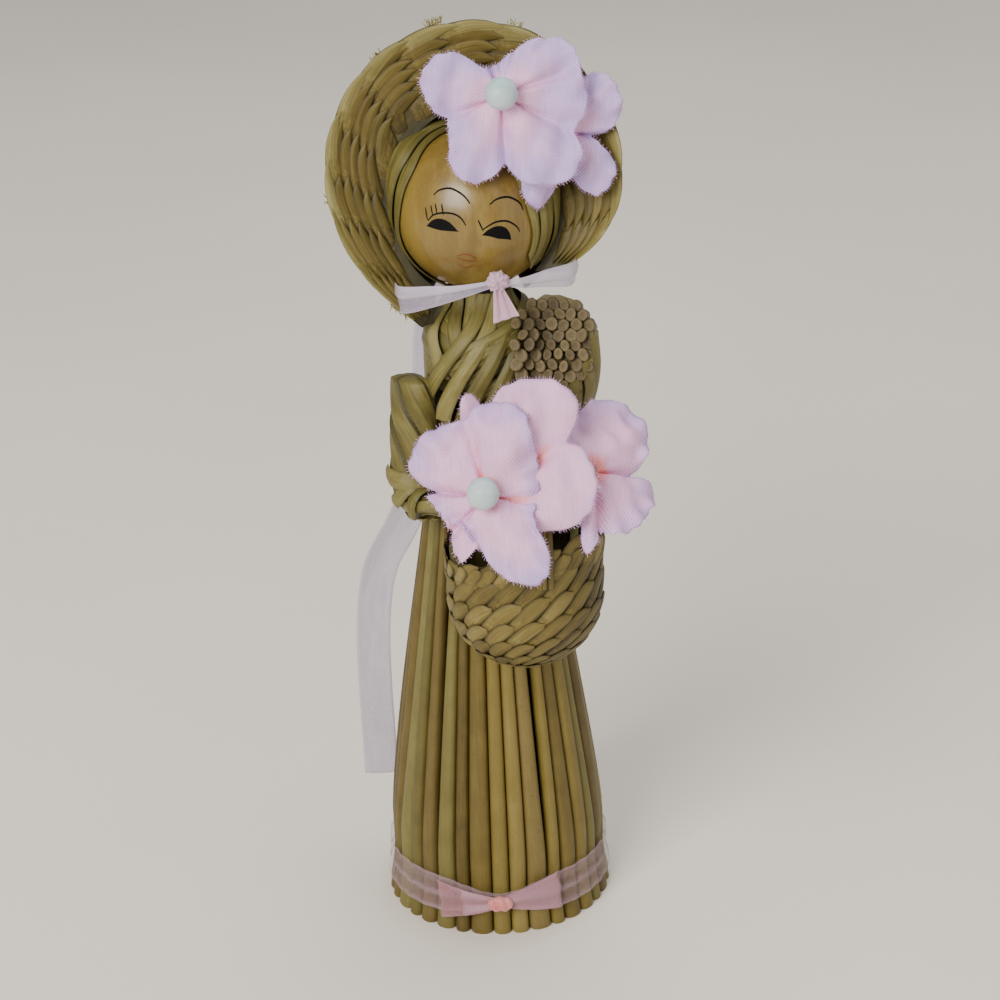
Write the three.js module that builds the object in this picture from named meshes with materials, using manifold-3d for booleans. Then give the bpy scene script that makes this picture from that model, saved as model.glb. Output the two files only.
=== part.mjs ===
// A straw doll: a skirt of rush stems, leaf bodice and arms, a wooden bead head in a plaited
// bonnet, a sheaf, and a plaited basket of silk blossoms that hangs on one forearm.
// Millimetres, +Z up. The origin is the centre of the cut base and the face looks along -Y.
import * as THREE from 'three';
import { mergeVertices } from 'three/addons/utils/BufferGeometryUtils.js';
import Module from 'manifold-3d';

const wasm = await Module();
wasm.setup();

// Clearance between pieces that touch on the doll
const seatGap = 0.3;

// Skirt: a ring of rush stems tied at the waist round a packed straw core
const stemCount = 34;
const stemSides = 6;
const hemRadius = 19;
const waistRadius = 8.4;
const skirtHeight = 84;
const skirtFullness = 0.6;
const stemDepthAtHem = 3;
const stemDepthAtWaist = 2;
const stemWidthSpread = 0.2;
const stemWidthBeat = 2.4;
const tieHeight = 4;
const tieThickness = 1.1;
const hemRibbonLow = 3.5;
const hemRibbonWidth = 6.35;
const hemNip = 0.7;
const hemNipReach = 5;
const ribbonThickness = 0.5;
const bowHalfSpan = 11;
const bowEndWidth = 5.6;
const bowKnotWidth = 4.2;
const bowNeckWidth = 1.8;
const bowTilt = 0.6;

// Torso: the core narrows to a neck, with a wooden peg set into its top
const bodiceHeight = 16.4;
const chestRadius = 7.8;
const neckRadius = 3.4;
const neckLength = 3.2;
const shoulderSlope = 2.2;
const pegRadius = 2;
const pegSeatDepth = 14;
const pegInHead = 20;
const pegBevel = 0.5;
const sashWidth = 11.6;
const sashThickness = 1;
const sashPeak = 11.8;
const sashCross = 20;

// Arms: folded leaf, given as points from the axis at the top of the waist tie
const rightArmPath = [[-10.6, -5, 6.6], [-11, -6.3, -1.5], [-11.6, -8.8, -12.2],
  [-6.6, -15.6, -11.4], [-0.6, -21.4, -9.6]];
const leftArmPath = [[12, -2.4, -4.6], [13.6, -8, -8.2], [14.8, -15, -10.6],
  [9.6, -21.6, -9.4], [4.6, -24.6, -8.6]];
const sleeveWidth = 9.2;
const sleeveThickness = 6.8;
const sleeveTopFullness = 0.35;
const wristWidth = 3.6;

// Sheaf of cut straw in the crook of the left arm
const strawAcross = 1.95;
const sheafWidth = 12.4;
const sheafHeight = 15.6;
const sheafLength = 15;
const sheafDome = 1.6;
const strawStagger = 0.35;
const strawBeat = [3.1, 5.3];
const strawPress = 1.02;
const sheafPlace = [11.4, -8.6, -5];
const sheafFacing = [-0.1, -0.92, 0.38];

// Head: a bored wooden bead with leaf strips laid over it as hair
const beadRadius = 11.5;
const boreClearance = 0.3;
const hairThickness = 0.8;
const hairFront = 56;
const hairBack = 98;
const hairLeftEnd = 148;
const hairRightEnd = 134;
const hairParting = 7;

// Bonnet: a plaited dome at the back of the head and a wide brim round the face
const hatTilt = 10;
const hatEase = 1.2;
const crownRise = 2.4;
const crownWall = 1.5;
const crownNape = 10.5;
const brimRadius = 22.8;
const brimRise = 7.2;
const brimThickness = 1.6;
const brimSetForward = 2.6;
const brimFlare = 4;
const brimLeftEnd = 150;
const brimRightEnd = 136;
const brimDroop = 5.2;
const brimDroopFrom = 105;
const brimEndTaper = 0.45;
const brimEndShare = 0.22;

// Ribbons of the head: one tied under the chin and one hanging at the back
// The chin ribbon's lay is a turn about the chin and an opening from the face, in degrees, and a lift;
// its ends are shares of the way round the brim and across it
const chinRibbonWidth = 3;
const chinRibbonNarrow = 1.6;
const chinRibbonLay = [[44, 62, 0.8], [12, 53, 0], [-24, 52, 0], [-52, 60, 0.8]];
const chinRibbonEnds = [0.045, 0.955];
const chinRibbonHold = 0.3;
const chinKnotWidth = 3;
const chinKnotAt = 0.58;
const chinKnotReach = 0.14;
const chinTailLength = 6;
const chinTailAside = 1.6;
const chinTailTop = 1.4;
const chinTailEnd = 3.8;
const backRibbonWidth = 5.8;
// Points of the back ribbon's middle line, from the axis at the top of the neck
const backRibbonPath = [[-1.5, 12.9, 2.6], [-5.2, 13.6, -3.6], [-8, 13.4, -12.6], [-8.6, 13.2, -24],
  [-10, 13.6, -36], [-14.4, 14.6, -47], [-18.4, 15.6, -55], [-20.2, 16, -66], [-20.3, 16, -95.4]];

// Basket: a plaited pouch on a strap handle
const basketHalfWidth = 12;
const basketHalfDepth = 9.2;
const basketHeight = 20.6;
const basketRound = 12.4;
const basketFlat = 0.2;
const basketWall = 1.6;
const basketDrop = 14.6;
const basketAside = 5.7;
const basketStandOff = 2.6;
const handleWidth = 2.6;
const handleThickness = 1;
const handleAside = 2.9;
const handleLap = 6;
const handleShoulder = 0.7;
const handleLean = 0.16;

// Silk blossoms: five petals round a small hole, each threaded on a stem.
// A petal is its direction in degrees, seen from the face, and its length
const clothThickness = 0.5;
const pipRadius = 2.45;
const flowerStemRadius = 0.6;
const petalNotch = 0.6;
const petalRuffle = 0.7;
const stemFootFront = -5;
const stemFootSide = 7.6;
const stemFootRise = 2;
const stemFootDepth = 6;
const stemStraight = 3;
const hatBloom = { place: [4.4, -12, 19], facing: [0.05, -1, 0.16], cup: 0.6,
  petals: [[-56, 14.2], [2, 12.6], [52, 12.4], [158, 12.6], [246, 14]] };
const hatBloomRear = { place: [14.6, -8.8, 14.6], facing: [0.1, -1, 0], cup: 0.2,
  petals: [[-50, 9.6], [10, 8.4], [72, 8.2], [140, 7.6], [220, 7.6]] };
const basketBloom = { place: [-5.4, -10.4, 12.2], facing: [-0.16, -0.86, 0.5], cup: 2.4,
  petals: [[-4, 13], [68, 14.4], [142, 13.6], [214, 10.4], [282, 15.2]] };
const basketBloomSide = { place: [9.6, -2.6, 15.4], facing: [0.36, -0.6, 0.7], cup: 1.6,
  petals: [[-78, 11.2], [-24, 13.2], [40, 12.6], [112, 12.6], [190, 11.4]] };

// Heights that follow from the sizes above
const waistTop = skirtHeight + tieHeight;
const shoulderHeight = waistTop + bodiceHeight;
const neckTop = shoulderHeight + neckLength;
const boreRadius = pegRadius + boreClearance;
const beadHeight = neckTop + seatGap + Math.sqrt(beadRadius ** 2 - boreRadius ** 2);
const hairRadius = beadRadius + seatGap + hairThickness;

const radians = THREE.MathUtils.degToRad;
const lerp = THREE.MathUtils.lerp;
const vector = (x, y, z) => new THREE.Vector3(x, y, z);

// Colours and finishes
const finish = (color, roughness) => () => new THREE.MeshStandardMaterial({
  color,
  roughness,
  metalness: 0,
});
const rush = finish(0x96823f, 0.55);
const leaf = finish(0x9c8f4c, 0.5);
const plait = finish(0xa08a48, 0.55);
const wood = finish(0xb28c44, 0.3);
const silk = finish(0xe6cfe2, 0.85);
const organza = finish(0xd8b4bc, 0.6);
const paleOrganza = finish(0xcfc6cf, 0.6);
const pearl = finish(0xdfe2d6, 0.35);
const wire = finish(0x6f7a3c, 0.6);

// A closed surface from points and triangles, turned so that its faces point outwards
function closedSurface(points, triangles) {
  let volume = 0;
  for (const [a, b, c] of triangles) {
    volume += points[a].dot(vector(0, 0, 0).crossVectors(points[b], points[c]));
  }
  const order = volume < 0 ? triangles.map(([a, b, c]) => [a, c, b]) : triangles;
  const geometry = new THREE.BufferGeometry();
  const corners = points.flatMap((p) => p.toArray());
  geometry.setAttribute('position', new THREE.Float32BufferAttribute(corners, 3));
  geometry.setIndex(order.flat());
  geometry.computeVertexNormals();
  return geometry;
}

// Skin over rings of equal count, closed by a fan over the first and the last ring
function loft(rings) {
  const count = rings[0].length;
  const points = rings.flat();
  const triangles = [];
  for (let r = 0; r + 1 < rings.length; r++) {
    for (let k = 0; k < count; k++) {
      const a = r * count + k;
      const b = r * count + ((k + 1) % count);
      triangles.push([a, b, b + count], [a, b + count, a + count]);
    }
  }
  const last = (rings.length - 1) * count;
  for (let k = 1; k + 1 < count; k++) {
    triangles.push([0, k + 1, k], [last, last + k, last + k + 1]);
  }
  return closedSurface(points, triangles);
}

// Wall between two surfaces of the same u and v, with its rims closed; u may run right round
function wall(under, over, uSteps, vSteps, round = false) {
  const columns = round ? uSteps : uSteps + 1;
  const rows = vSteps + 1;
  const points = [];
  for (const face of [under, over]) {
    for (let i = 0; i < columns; i++) {
      for (let j = 0; j < rows; j++) points.push(face(i / uSteps, j / vSteps));
    }
  }
  const size = columns * rows;
  const at = (i, j, layer) => layer * size + (i % columns) * rows + j;
  const triangles = [];
  const quad = (a, b, c, d) => triangles.push([a, b, c], [a, c, d]);
  for (let i = 0; i < uSteps; i++) {
    for (let j = 0; j < vSteps; j++) {
      quad(at(i, j, 1), at(i + 1, j, 1), at(i + 1, j + 1, 1), at(i, j + 1, 1));
      quad(at(i, j, 0), at(i, j + 1, 0), at(i + 1, j + 1, 0), at(i + 1, j, 0));
    }
    quad(at(i, 0, 0), at(i + 1, 0, 0), at(i + 1, 0, 1), at(i, 0, 1));
    quad(at(i, vSteps, 1), at(i + 1, vSteps, 1), at(i + 1, vSteps, 0), at(i, vSteps, 0));
  }
  if (!round) {
    for (let j = 0; j < vSteps; j++) {
      quad(at(0, j, 1), at(0, j + 1, 1), at(0, j + 1, 0), at(0, j, 0));
      quad(at(uSteps, j, 0), at(uSteps, j + 1, 0), at(uSteps, j + 1, 1), at(uSteps, j, 1));
    }
  }
  return closedSurface(points, triangles);
}

// A section carried along a curve; reference says which way the section's thickness points
function sweep(curve, steps, sectionAt, reference) {
  const rings = [];
  for (let i = 0; i <= steps; i++) {
    const t = i / steps;
    const along = curve.getTangentAt(t);
    const side = vector(0, 0, 0).crossVectors(along, reference).normalize();
    const out = vector(0, 0, 0).crossVectors(side, along);
    const centre = curve.getPointAt(t);
    const corner = ([a, b]) => centre.clone().addScaledVector(side, a).addScaledVector(out, b);
    rings.push(sectionAt(t).map(corner));
  }
  return loft(rings);
}

const smoothPath = (points) => new THREE.CatmullRomCurve3(points, false, 'centripetal');

const stripSection = (width, thickness) => [[-width, -thickness], [width, -thickness],
  [width, thickness], [-width, thickness]].map(([a, b]) => [a / 2, b / 2]);

function ovalSection(width, thickness, sides) {
  return Array.from({ length: sides }, (_, k) => {
    const turn = (2 * Math.PI * k) / sides;
    return [(width / 2) * Math.cos(turn), (thickness / 2) * Math.sin(turn)];
  });
}

// A profile of radius and height turned about the Z axis
function revolve(profile, segments) {
  const geometry = new THREE.LatheGeometry(profile.map(([r, z]) => new THREE.Vector2(r, z)), segments);
  geometry.rotateX(Math.PI / 2);
  return welded(geometry);
}

// The same surface with shared corners, turned outwards
function welded(geometry) {
  const bare = geometry.clone();
  bare.deleteAttribute('normal');
  bare.deleteAttribute('uv');
  const merged = mergeVertices(bare, 1e-4);
  const position = merged.getAttribute('position');
  const corner = (_, k) => vector(0, 0, 0).fromBufferAttribute(position, k);
  const points = Array.from({ length: position.count }, corner);
  const index = merged.getIndex().array;
  const triangles = [];
  for (let k = 0; k < index.length; k += 3) {
    const [a, b, c] = [index[k], index[k + 1], index[k + 2]];
    if (a !== b && b !== c && c !== a) triangles.push([a, b, c]);
  }
  return closedSurface(points, triangles);
}

function solidOf(geometry) {
  const merged = welded(geometry);
  return new wasm.Manifold(new wasm.Mesh({
    numProp: 3,
    vertProperties: Float32Array.from(merged.getAttribute('position').array),
    triVerts: Uint32Array.from(merged.getIndex().array),
  }));
}

function geometryOf(solid) {
  const mesh = solid.getMesh();
  const geometry = new THREE.BufferGeometry();
  geometry.setAttribute('position', new THREE.BufferAttribute(Float32Array.from(mesh.vertProperties), 3));
  geometry.setIndex(Array.from(mesh.triVerts));
  return welded(geometry);
}

const joined = (...geometries) => geometryOf(geometries.map(solidOf).reduce((a, b) => a.add(b)));
const cut = (geometry, cutter) => geometryOf(solidOf(geometry).subtract(solidOf(cutter)));

const doll = new THREE.Group();

function piece(name, geometry, material, group = doll) {
  const mesh = new THREE.Mesh(geometry, material());
  mesh.name = name;
  group.add(mesh);
  return mesh;
}

// Skirt outline: a cone with a little fullness, nipped where the hem ribbon is tied
function skirtRadius(z) {
  const t = Math.min(z / skirtHeight, 1);
  const share = 1 - t + skirtFullness * t * (1 - t) ** 2;
  const ribbonMiddle = hemRibbonLow + hemRibbonWidth / 2;
  const nip = hemNip * Math.exp(-(((z - ribbonMiddle) / hemNipReach) ** 2));
  return waistRadius + (hemRadius - waistRadius) * share - nip;
}

const stemDepth = (z) => lerp(stemDepthAtHem, stemDepthAtWaist, Math.min(z / skirtHeight, 1));
const hemRibbonTop = hemRibbonLow + hemRibbonWidth;
const bodyRings = [0, hemRibbonLow, hemRibbonTop, 0.3 * skirtHeight, 0.55 * skirtHeight,
  0.8 * skirtHeight, skirtHeight, waistTop];

// Stems of uneven width share the circle, each in its own wedge, cut level at the base
function addStems() {
  const share = (_, k) => 1 + stemWidthSpread * Math.sin(stemWidthBeat * k);
  const shares = Array.from({ length: stemCount }, share);
  const total = shares.reduce((a, b) => a + b);
  let turn = 0;
  shares.forEach((part, k) => {
    const wedge = (2 * Math.PI * part) / total;
    const middle = turn + wedge / 2;
    turn += wedge;
    const rings = bodyRings.map((z) => {
      const depth = stemDepth(z);
      const radius = skirtRadius(z) - depth / 2;
      const width = 2 * radius * Math.sin(wedge / 2) - seatGap;
      return ovalSection(depth, width, stemSides).map(([out, side]) => vector(radius + out, side, z)
        .applyAxisAngle(vector(0, 0, 1), middle));
    });
    piece(`rush_stem_${String(k + 1).padStart(2, '0')}`, loft(rings), rush);
  });
}

// Torso radius: chest below, neck above, with sloping shoulders between
function torsoRadius(z) {
  const slope = Math.tanh((z - shoulderHeight) / shoulderSlope);
  return neckRadius + (chestRadius - neckRadius) * 0.5 * (1 - slope);
}

function addCore() {
  const segments = 24;
  const skirt = bodyRings.map((z) => [skirtRadius(z) - stemDepth(z) - seatGap, z]);
  const torsoSteps = 7;
  const torso = Array.from({ length: torsoSteps }, (_, k) => {
    const z = lerp(waistTop, neckTop, (k + 1) / torsoSteps);
    return [torsoRadius(z), z];
  });
  const socket = pegRadius + seatGap;
  const seat = neckTop - pegSeatDepth;
  const profile = [[0, 0], ...skirt, ...torso, [socket, neckTop], [socket, seat], [0, seat]];
  piece('core_bundle', revolve(profile, segments), rush);

  const pegLow = seat + seatGap;
  const pegTop = neckTop + pegInHead;
  const peg = [[0, pegLow], [pegRadius, pegLow], [pegRadius, pegTop - pegBevel],
    [pegRadius - pegBevel, pegTop], [0, pegTop]];
  piece('neck_peg', revolve(peg, segments), wood);

  const inner = waistRadius + seatGap;
  const tieLow = skirtHeight + seatGap;
  const tieTop = waistTop - seatGap;
  const tieMiddle = (tieLow + tieTop) / 2;
  const bulge = tieThickness / 2;
  const tie = [[inner, tieLow], [inner + bulge, tieLow], [inner + tieThickness, tieMiddle],
    [inner + bulge, tieTop], [inner, tieTop], [inner, tieLow]];
  piece('waist_tie', revolve(tie, 2 * segments), rush);
}

// A leaf sash runs from the front of the waist over one shoulder and down the back
function addSash(name, side, offset) {
  const low = waistTop + seatGap + sashWidth / 2;
  const line = (u) => [radians(side * (u * (180 + 2 * sashCross) - sashCross)),
    low + (waistTop + sashPeak - low) * Math.sin(Math.PI * u)];
  const along = 0.01;
  const place = (u, v, lift) => {
    const [turn, z] = line(u);
    const [turnBefore, zBefore] = line(u - along);
    const [turnAfter, zAfter] = line(u + along);
    const radius = torsoRadius(z);
    const run = new THREE.Vector2(radius * (turnAfter - turnBefore), zAfter - zBefore).normalize();
    const aside = (v - 0.5) * sashWidth;
    const bearing = turn - (aside * run.y) / radius;
    const height = z + aside * run.x;
    const reach = torsoRadius(height) + lift;
    return vector(reach * Math.sin(bearing), -reach * Math.cos(bearing), height);
  };
  const face = (lift) => (u, v) => place(u, v, lift);
  piece(name, wall(face(offset), face(offset + sashThickness), 24, 7), leaf);
}

const armCurve = (path) => smoothPath(path.map(([x, y, z]) => vector(x, y, waistTop + z)));

// A folded leaf sleeve, full above the elbow and narrow at the wrist, pressed against the bodice
function addArm(name, path) {
  const curve = armCurve(path);
  const elbow = curve.getPointAt(0.5);
  const outwards = vector(elbow.x, elbow.y, 0).normalize();
  const section = (t) => {
    const puff = Math.sin(Math.PI * Math.min(sleeveTopFullness + t, 1)) ** 0.8;
    const width = lerp(wristWidth, sleeveWidth, puff);
    const thickness = lerp(wristWidth, sleeveThickness, puff);
    return ovalSection(width, thickness, 10);
  };
  piece(name, cut(sweep(curve, 14, section, outwards), torsoEnvelope()), leaf);
}

// Space kept by the waist tie and by the torso with its two sashes
function torsoEnvelope() {
  const layers = 2 * sashThickness + 3 * seatGap;
  const tieReach = waistRadius + tieThickness + 2 * seatGap;
  const steps = 8;
  const profile = Array.from({ length: steps + 1 }, (_, k) => {
    const z = lerp(waistTop, neckTop, k / steps);
    return [torsoRadius(z) + layers, z];
  });
  return revolve([[0, skirtHeight], [tieReach, skirtHeight], ...profile, [0, neckTop]], 24);
}

// Six-sided straws packed in rows, their cut ends on a slightly domed face
function addSheaf() {
  const facing = vector(...sheafFacing).normalize();
  const turn = new THREE.Quaternion().setFromUnitVectors(vector(0, 0, 1), facing);
  const place = vector(sheafPlace[0], sheafPlace[1], shoulderHeight + sheafPlace[2]);
  const rowStep = strawAcross * Math.cos(Math.PI / 6);
  const strawRadius = (strawPress * strawAcross) / 2 / Math.cos(Math.PI / 6);
  const rows = Math.floor(sheafHeight / rowStep / 2);
  const columns = Math.ceil(sheafWidth / strawAcross / 2);
  const straws = [];
  for (let row = -rows; row <= rows; row++) {
    for (let column = -columns; column <= columns; column++) {
      const x = (column + (row % 2 ? 0.5 : 0)) * strawAcross;
      const y = row * rowStep;
      const reach = (2 * x / sheafWidth) ** 2 + (2 * y / sheafHeight) ** 2;
      if (reach > 1) continue;
      const stagger = strawStagger * Math.sin(strawBeat[0] * row + strawBeat[1] * column);
      const length = sheafLength + stagger - sheafDome * reach;
      const straw = new THREE.CylinderGeometry(strawRadius, strawRadius, length, 6);
      straw.rotateX(Math.PI / 2);
      straw.translate(x, y, length / 2 - sheafLength);
      straws.push(straw);
    }
  }
  const bundle = joined(...straws);
  bundle.applyQuaternion(turn);
  bundle.translate(...place.toArray());
  piece('straw_sheaf', cut(bundle, torsoEnvelope()), rush);
}

// Head: the bead turns on the peg, and its hair and bonnet turn with it
const head = new THREE.Group();
head.position.z = beadHeight;
doll.add(head);

function addBead() {
  const steps = 12;
  const open = Math.asin(boreRadius / beadRadius);
  const sphere = Array.from({ length: steps + 1 }, (_, k) => {
    const turn = lerp(open, Math.PI - open, k / steps);
    return [beadRadius * Math.sin(turn), -beadRadius * Math.cos(turn)];
  });
  piece('head_bead', revolve([...sphere, sphere[0]], 28), wood, head);
}

const hat = new THREE.Group();
hat.rotation.x = -radians(hatTilt);
head.add(hat);

// Point of a sphere about the head: sweep counts from the top, opening from the way the hat faces
function headPoint(radius, sweepAngle, opening) {
  return vector(radius * Math.sin(opening) * Math.sin(sweepAngle), -radius * Math.cos(opening),
    radius * Math.sin(opening) * Math.cos(sweepAngle));
}

function addHair(name, side, end) {
  const lock = (radius) => (u, v) => headPoint(radius, radians(side * lerp(hairParting, end, u)),
    radians(lerp(hairFront, hairBack, v)));
  piece(name, wall(lock(beadRadius + seatGap), lock(hairRadius), 14, 3), leaf, hat);
}

// Inner line of the brim and rim of the crown, seen from the front
const crownHalfWidth = hairRadius + hatEase;
const crownHalfHeight = hairRadius + crownRise + hatEase / 2;
const crownDepth = hairRadius + hatEase;

function addCrown() {
  const steps = 7;
  const shell = (thickness) => Array.from({ length: steps + 1 }, (_, k) => {
    const turn = (Math.PI / 2) * (k / steps);
    const radius = (crownHalfWidth + thickness) * Math.sin(turn);
    return [radius, -(crownDepth + thickness) * Math.cos(turn)];
  });
  const edge = brimSetForward - seatGap - brimThickness / 2;
  const outside = shell(crownWall);
  const inside = shell(0).reverse();
  const profile = [...outside, [crownHalfWidth + crownWall, edge], [crownHalfWidth, edge], ...inside];
  const dome = revolve(profile, 32);
  dome.rotateX(Math.PI / 2);
  dome.scale(1, 1, crownHalfHeight / crownHalfWidth);
  dome.translate(0, 0, crownRise);
  const side = 4 * crownHalfHeight;
  const nape = new THREE.BoxGeometry(side, side, side);
  nape.translate(0, 0, -crownNape - side / 2);
  piece('hat_crown', cut(dome, nape), plait, hat);
}

// The brim flares from the crown's rim to a larger circle set higher, and droops at its left end
function brimPoint(u, v, layer) {
  const degrees = lerp(-brimLeftEnd, brimRightEnd, u);
  const turn = radians(degrees);
  const droop = brimDroop * Math.max(0, (-degrees - brimDroopFrom) / (brimLeftEnd - brimDroopFrom)) ** 2;
  const innerWidth = crownHalfWidth + seatGap;
  const innerHeight = crownHalfHeight + seatGap;
  const endShare = Math.min(1, (1 - Math.abs(2 * u - 1)) / brimEndShare);
  const reach = v * lerp(brimEndTaper, 1, Math.sin((Math.PI / 2) * endShare));
  const x = lerp(innerWidth, brimRadius, reach) * Math.sin(turn);
  const innerRise = innerHeight * Math.cos(turn) + crownRise;
  const z = lerp(innerRise, brimRadius * Math.cos(turn) + brimRise, reach) - droop;
  const y = -brimSetForward - brimFlare * reach ** 1.5 + layer * brimThickness;
  return vector(x, y, z);
}

function addBrim() {
  const half = 0.5;
  const face = (layer) => (u, v) => brimPoint(u, v, layer);
  piece('hat_brim', wall(face(half), face(-half), 44, 4), plait, hat);
}

// Chin ribbon: from the brim's left end under the chin to its right end, knotted off centre
function addChinRibbon() {
  const seat = hairRadius + seatGap + ribbonThickness;
  const lay = (turn, rise, lift) => headPoint(seat + lift, radians(180 + turn), radians(rise));
  const clear = vector(0, -seatGap - chinRibbonWidth / 3, 0);
  const ends = chinRibbonEnds.map((u) => brimPoint(u, chinRibbonHold, -0.5).add(clear));
  const path = smoothPath([ends[0], ...chinRibbonLay.map((place) => lay(...place)), ends[1]]);
  const section = (t) => {
    const drawn = Math.exp(-(((t - chinKnotAt) / chinKnotReach) ** 2));
    return stripSection(lerp(chinRibbonWidth, chinRibbonNarrow, drawn), ribbonThickness);
  };
  const band = sweep(path, 24, section, vector(0, -1, -0.6));
  const knotPlace = path.getPointAt(chinKnotAt).add(vector(0, -ribbonThickness, 0));
  const knot = new THREE.SphereGeometry(chinKnotWidth / 2, 8, 6);
  knot.scale(1, 0.7, 0.9);
  knot.translate(...knotPlace.toArray());
  const tailTop = knotPlace.clone().add(vector(0, -ribbonThickness, 0));
  const tailEnd = knotPlace.clone().add(vector(chinTailAside, -2 * ribbonThickness, -chinTailLength));
  const tailSection = (t) => stripSection(lerp(chinTailTop, chinTailEnd, t), ribbonThickness);
  const tail = sweep(new THREE.LineCurve3(tailTop, tailEnd), 3, tailSection, vector(0, -1, 0));
  piece('chin_ribbon', joined(band, knot, tail), paleOrganza, hat);
}

function addBackRibbon() {
  const path = smoothPath(backRibbonPath.map(([x, y, z]) => vector(x, y, neckTop + z)));
  const section = () => stripSection(backRibbonWidth, ribbonThickness);
  piece('back_ribbon', sweep(path, 30, section, vector(0, 1, 0)), paleOrganza);
}

// Hem ribbon round the stems, with a flat bow over it at the front
function addHemRibbon() {
  const inside = [hemRibbonLow, hemRibbonTop].map((z) => [skirtRadius(z) + seatGap, z]);
  const outside = inside.map(([r, z]) => [r + ribbonThickness, z]).reverse();
  piece('hem_ribbon', revolve([...inside, ...outside, inside[0]], 48), organza);

  const middle = hemRibbonLow + hemRibbonWidth / 2;
  const radius = skirtRadius(middle) + 3 * seatGap + 2 * ribbonThickness;
  const spread = bowHalfSpan / radius;
  const tail = (side) => {
    const steps = 5;
    const path = smoothPath(Array.from({ length: steps }, (_, k) => {
      const turn = (side * spread * k) / (steps - 1);
      const rise = (side * bowTilt * k) / (steps - 1);
      return vector(radius * Math.sin(turn), -radius * Math.cos(turn), middle + rise);
    }));
    const section = (t) => stripSection(lerp(bowNeckWidth, bowEndWidth, t), ribbonThickness);
    return sweep(path, 6, section, vector(0, -1, 0));
  };
  const knot = new THREE.SphereGeometry(bowKnotWidth / 2, 10, 6);
  knot.scale(1, 0.4, 0.9);
  knot.translate(0, -radius - ribbonThickness, middle);
  piece('hem_bow', joined(tail(-1), tail(1), knot), organza);
}

// Basket pouch: a round-bottomed cup, wider than deep, open at the top
const rimHeight = waistTop - basketDrop;
const basketBase = rimHeight - basketHeight;
const basketCentre = vector(basketAside,
  -skirtRadius(rimHeight - basketHeight / 2) - basketStandOff - basketHalfDepth, basketBase);
const basket = new THREE.Group();
basket.position.copy(basketCentre);
doll.add(basket);

function addBasket() {
  const steps = 6;
  const cup = (inset) => Array.from({ length: steps + 1 }, (_, k) => {
    const turn = (Math.PI / 2) * lerp(basketFlat, 1, k / steps);
    return [(basketHalfWidth - inset) * Math.sin(turn), basketRound - (basketRound - inset) * Math.cos(turn)];
  });
  const outside = cup(0);
  const inside = cup(basketWall).reverse();
  const profile = [[0, outside[0][1]], ...outside, [basketHalfWidth, basketHeight],
    [basketHalfWidth - basketWall, basketHeight], ...inside, [0, inside[steps][1]]];
  const pouch = revolve(profile, 28);
  pouch.scale(1, basketHalfDepth / basketHalfWidth, 1);
  piece('basket', pouch, plait, basket);
}

// Strap handle: up inside the back wall, over the left forearm, and down over the front wall
const leftArm = armCurve(leftArmPath);
const handlePlace = basketAside + handleAside;
function armCrossing() {
  const off = (p) => Math.abs(p.x - handlePlace);
  return leftArm.getSpacedPoints(200).reduce((best, p) => (off(p) < off(best) ? p : best));
}

function addHandle() {
  const crossing = armCrossing().sub(basketCentre);
  const narrowing = Math.sqrt(1 - (handleAside / basketHalfWidth) ** 2);
  const half = handleThickness / 2;
  const front = -basketHalfDepth * narrowing - seatGap - half;
  const back = (basketHalfDepth - basketWall) * narrowing - seatGap - half;
  const top = crossing.z + wristWidth / 2 + 2 * seatGap + half;
  const shoulder = lerp(basketHeight, top, handleShoulder);
  const lean = (y) => lerp(y, crossing.y, handleLean);
  const path = smoothPath([[back, basketHeight - handleLap], [back, basketHeight], [lean(back), shoulder],
    [crossing.y, top], [lean(front), shoulder], [front, basketHeight], [front, basketHeight - handleLap],
  ].map(([y, z]) => vector(handleAside, y, z)));
  const strap = sweep(path, 26, () => stripSection(handleThickness, handleWidth), vector(1, 0, 0));
  piece('basket_handle', strap, plait, basket);
}

// A five-petalled sheet in its own plane, cupped away from its face, with a hole for the stem;
// each petal keeps the wedge between the lines halfway to its neighbours
function blossom({ petals, cup }) {
  const perPetal = 7;
  const count = petals.length;
  const steps = count * perPetal;
  const hole = flowerStemRadius + seatGap;
  const direction = (k) => petals[(k + count) % count][0] + 360 * Math.floor(k / count);
  const edge = (k) => (direction(k - 1) + direction(k)) / 2;
  const sheet = (lift) => (u, v) => {
    const turn = u * count;
    const k = Math.floor(turn) % count;
    const across = 2 * (turn - Math.floor(turn)) - 1;
    const lobe = petalNotch + (1 - petalNotch) * (1 - Math.abs(across) ** 3);
    const neighbour = petals[(k + Math.sign(across) + count) % count];
    const length = lerp(petals[k][1], neighbour[1], Math.abs(across) / 2);
    const radius = lerp(hole, length * lobe, v);
    const angle = radians(lerp(edge(k), edge(k + 1), (across + 1) / 2));
    const ruffle = petalRuffle * v * v * Math.cos(2 * Math.PI * across);
    return vector(radius * Math.cos(angle), radius * Math.sin(angle), lift - cup * v * v + ruffle);
  };
  return wall(sheet(0), sheet(clothThickness), steps, 3, true);
}

// A round stalk along a curve
function stalk(path) {
  const across = 2 * flowerStemRadius;
  return sweep(path, 12, () => ovalSection(across, across, 6), vector(1, 0.2, 0));
}

// Pip and its stem: the stem starts along the blossom's axis and may bend on to a foot
function pip(stemPoints) {
  const bead = new THREE.SphereGeometry(pipRadius, 10, 8);
  bead.translate(0, 0, clothThickness + seatGap + pipRadius);
  const path = smoothPath([vector(0, 0, clothThickness + pipRadius), ...stemPoints]);
  return joined(bead, stalk(path));
}

// A group at a blossom's place whose +Z is the way the blossom faces
function bloomGroup({ place, facing }, parent) {
  const group = new THREE.Group();
  group.position.set(...place);
  group.quaternion.setFromUnitVectors(vector(0, 0, 1), vector(...facing).normalize());
  parent.add(group);
  return group;
}

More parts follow.
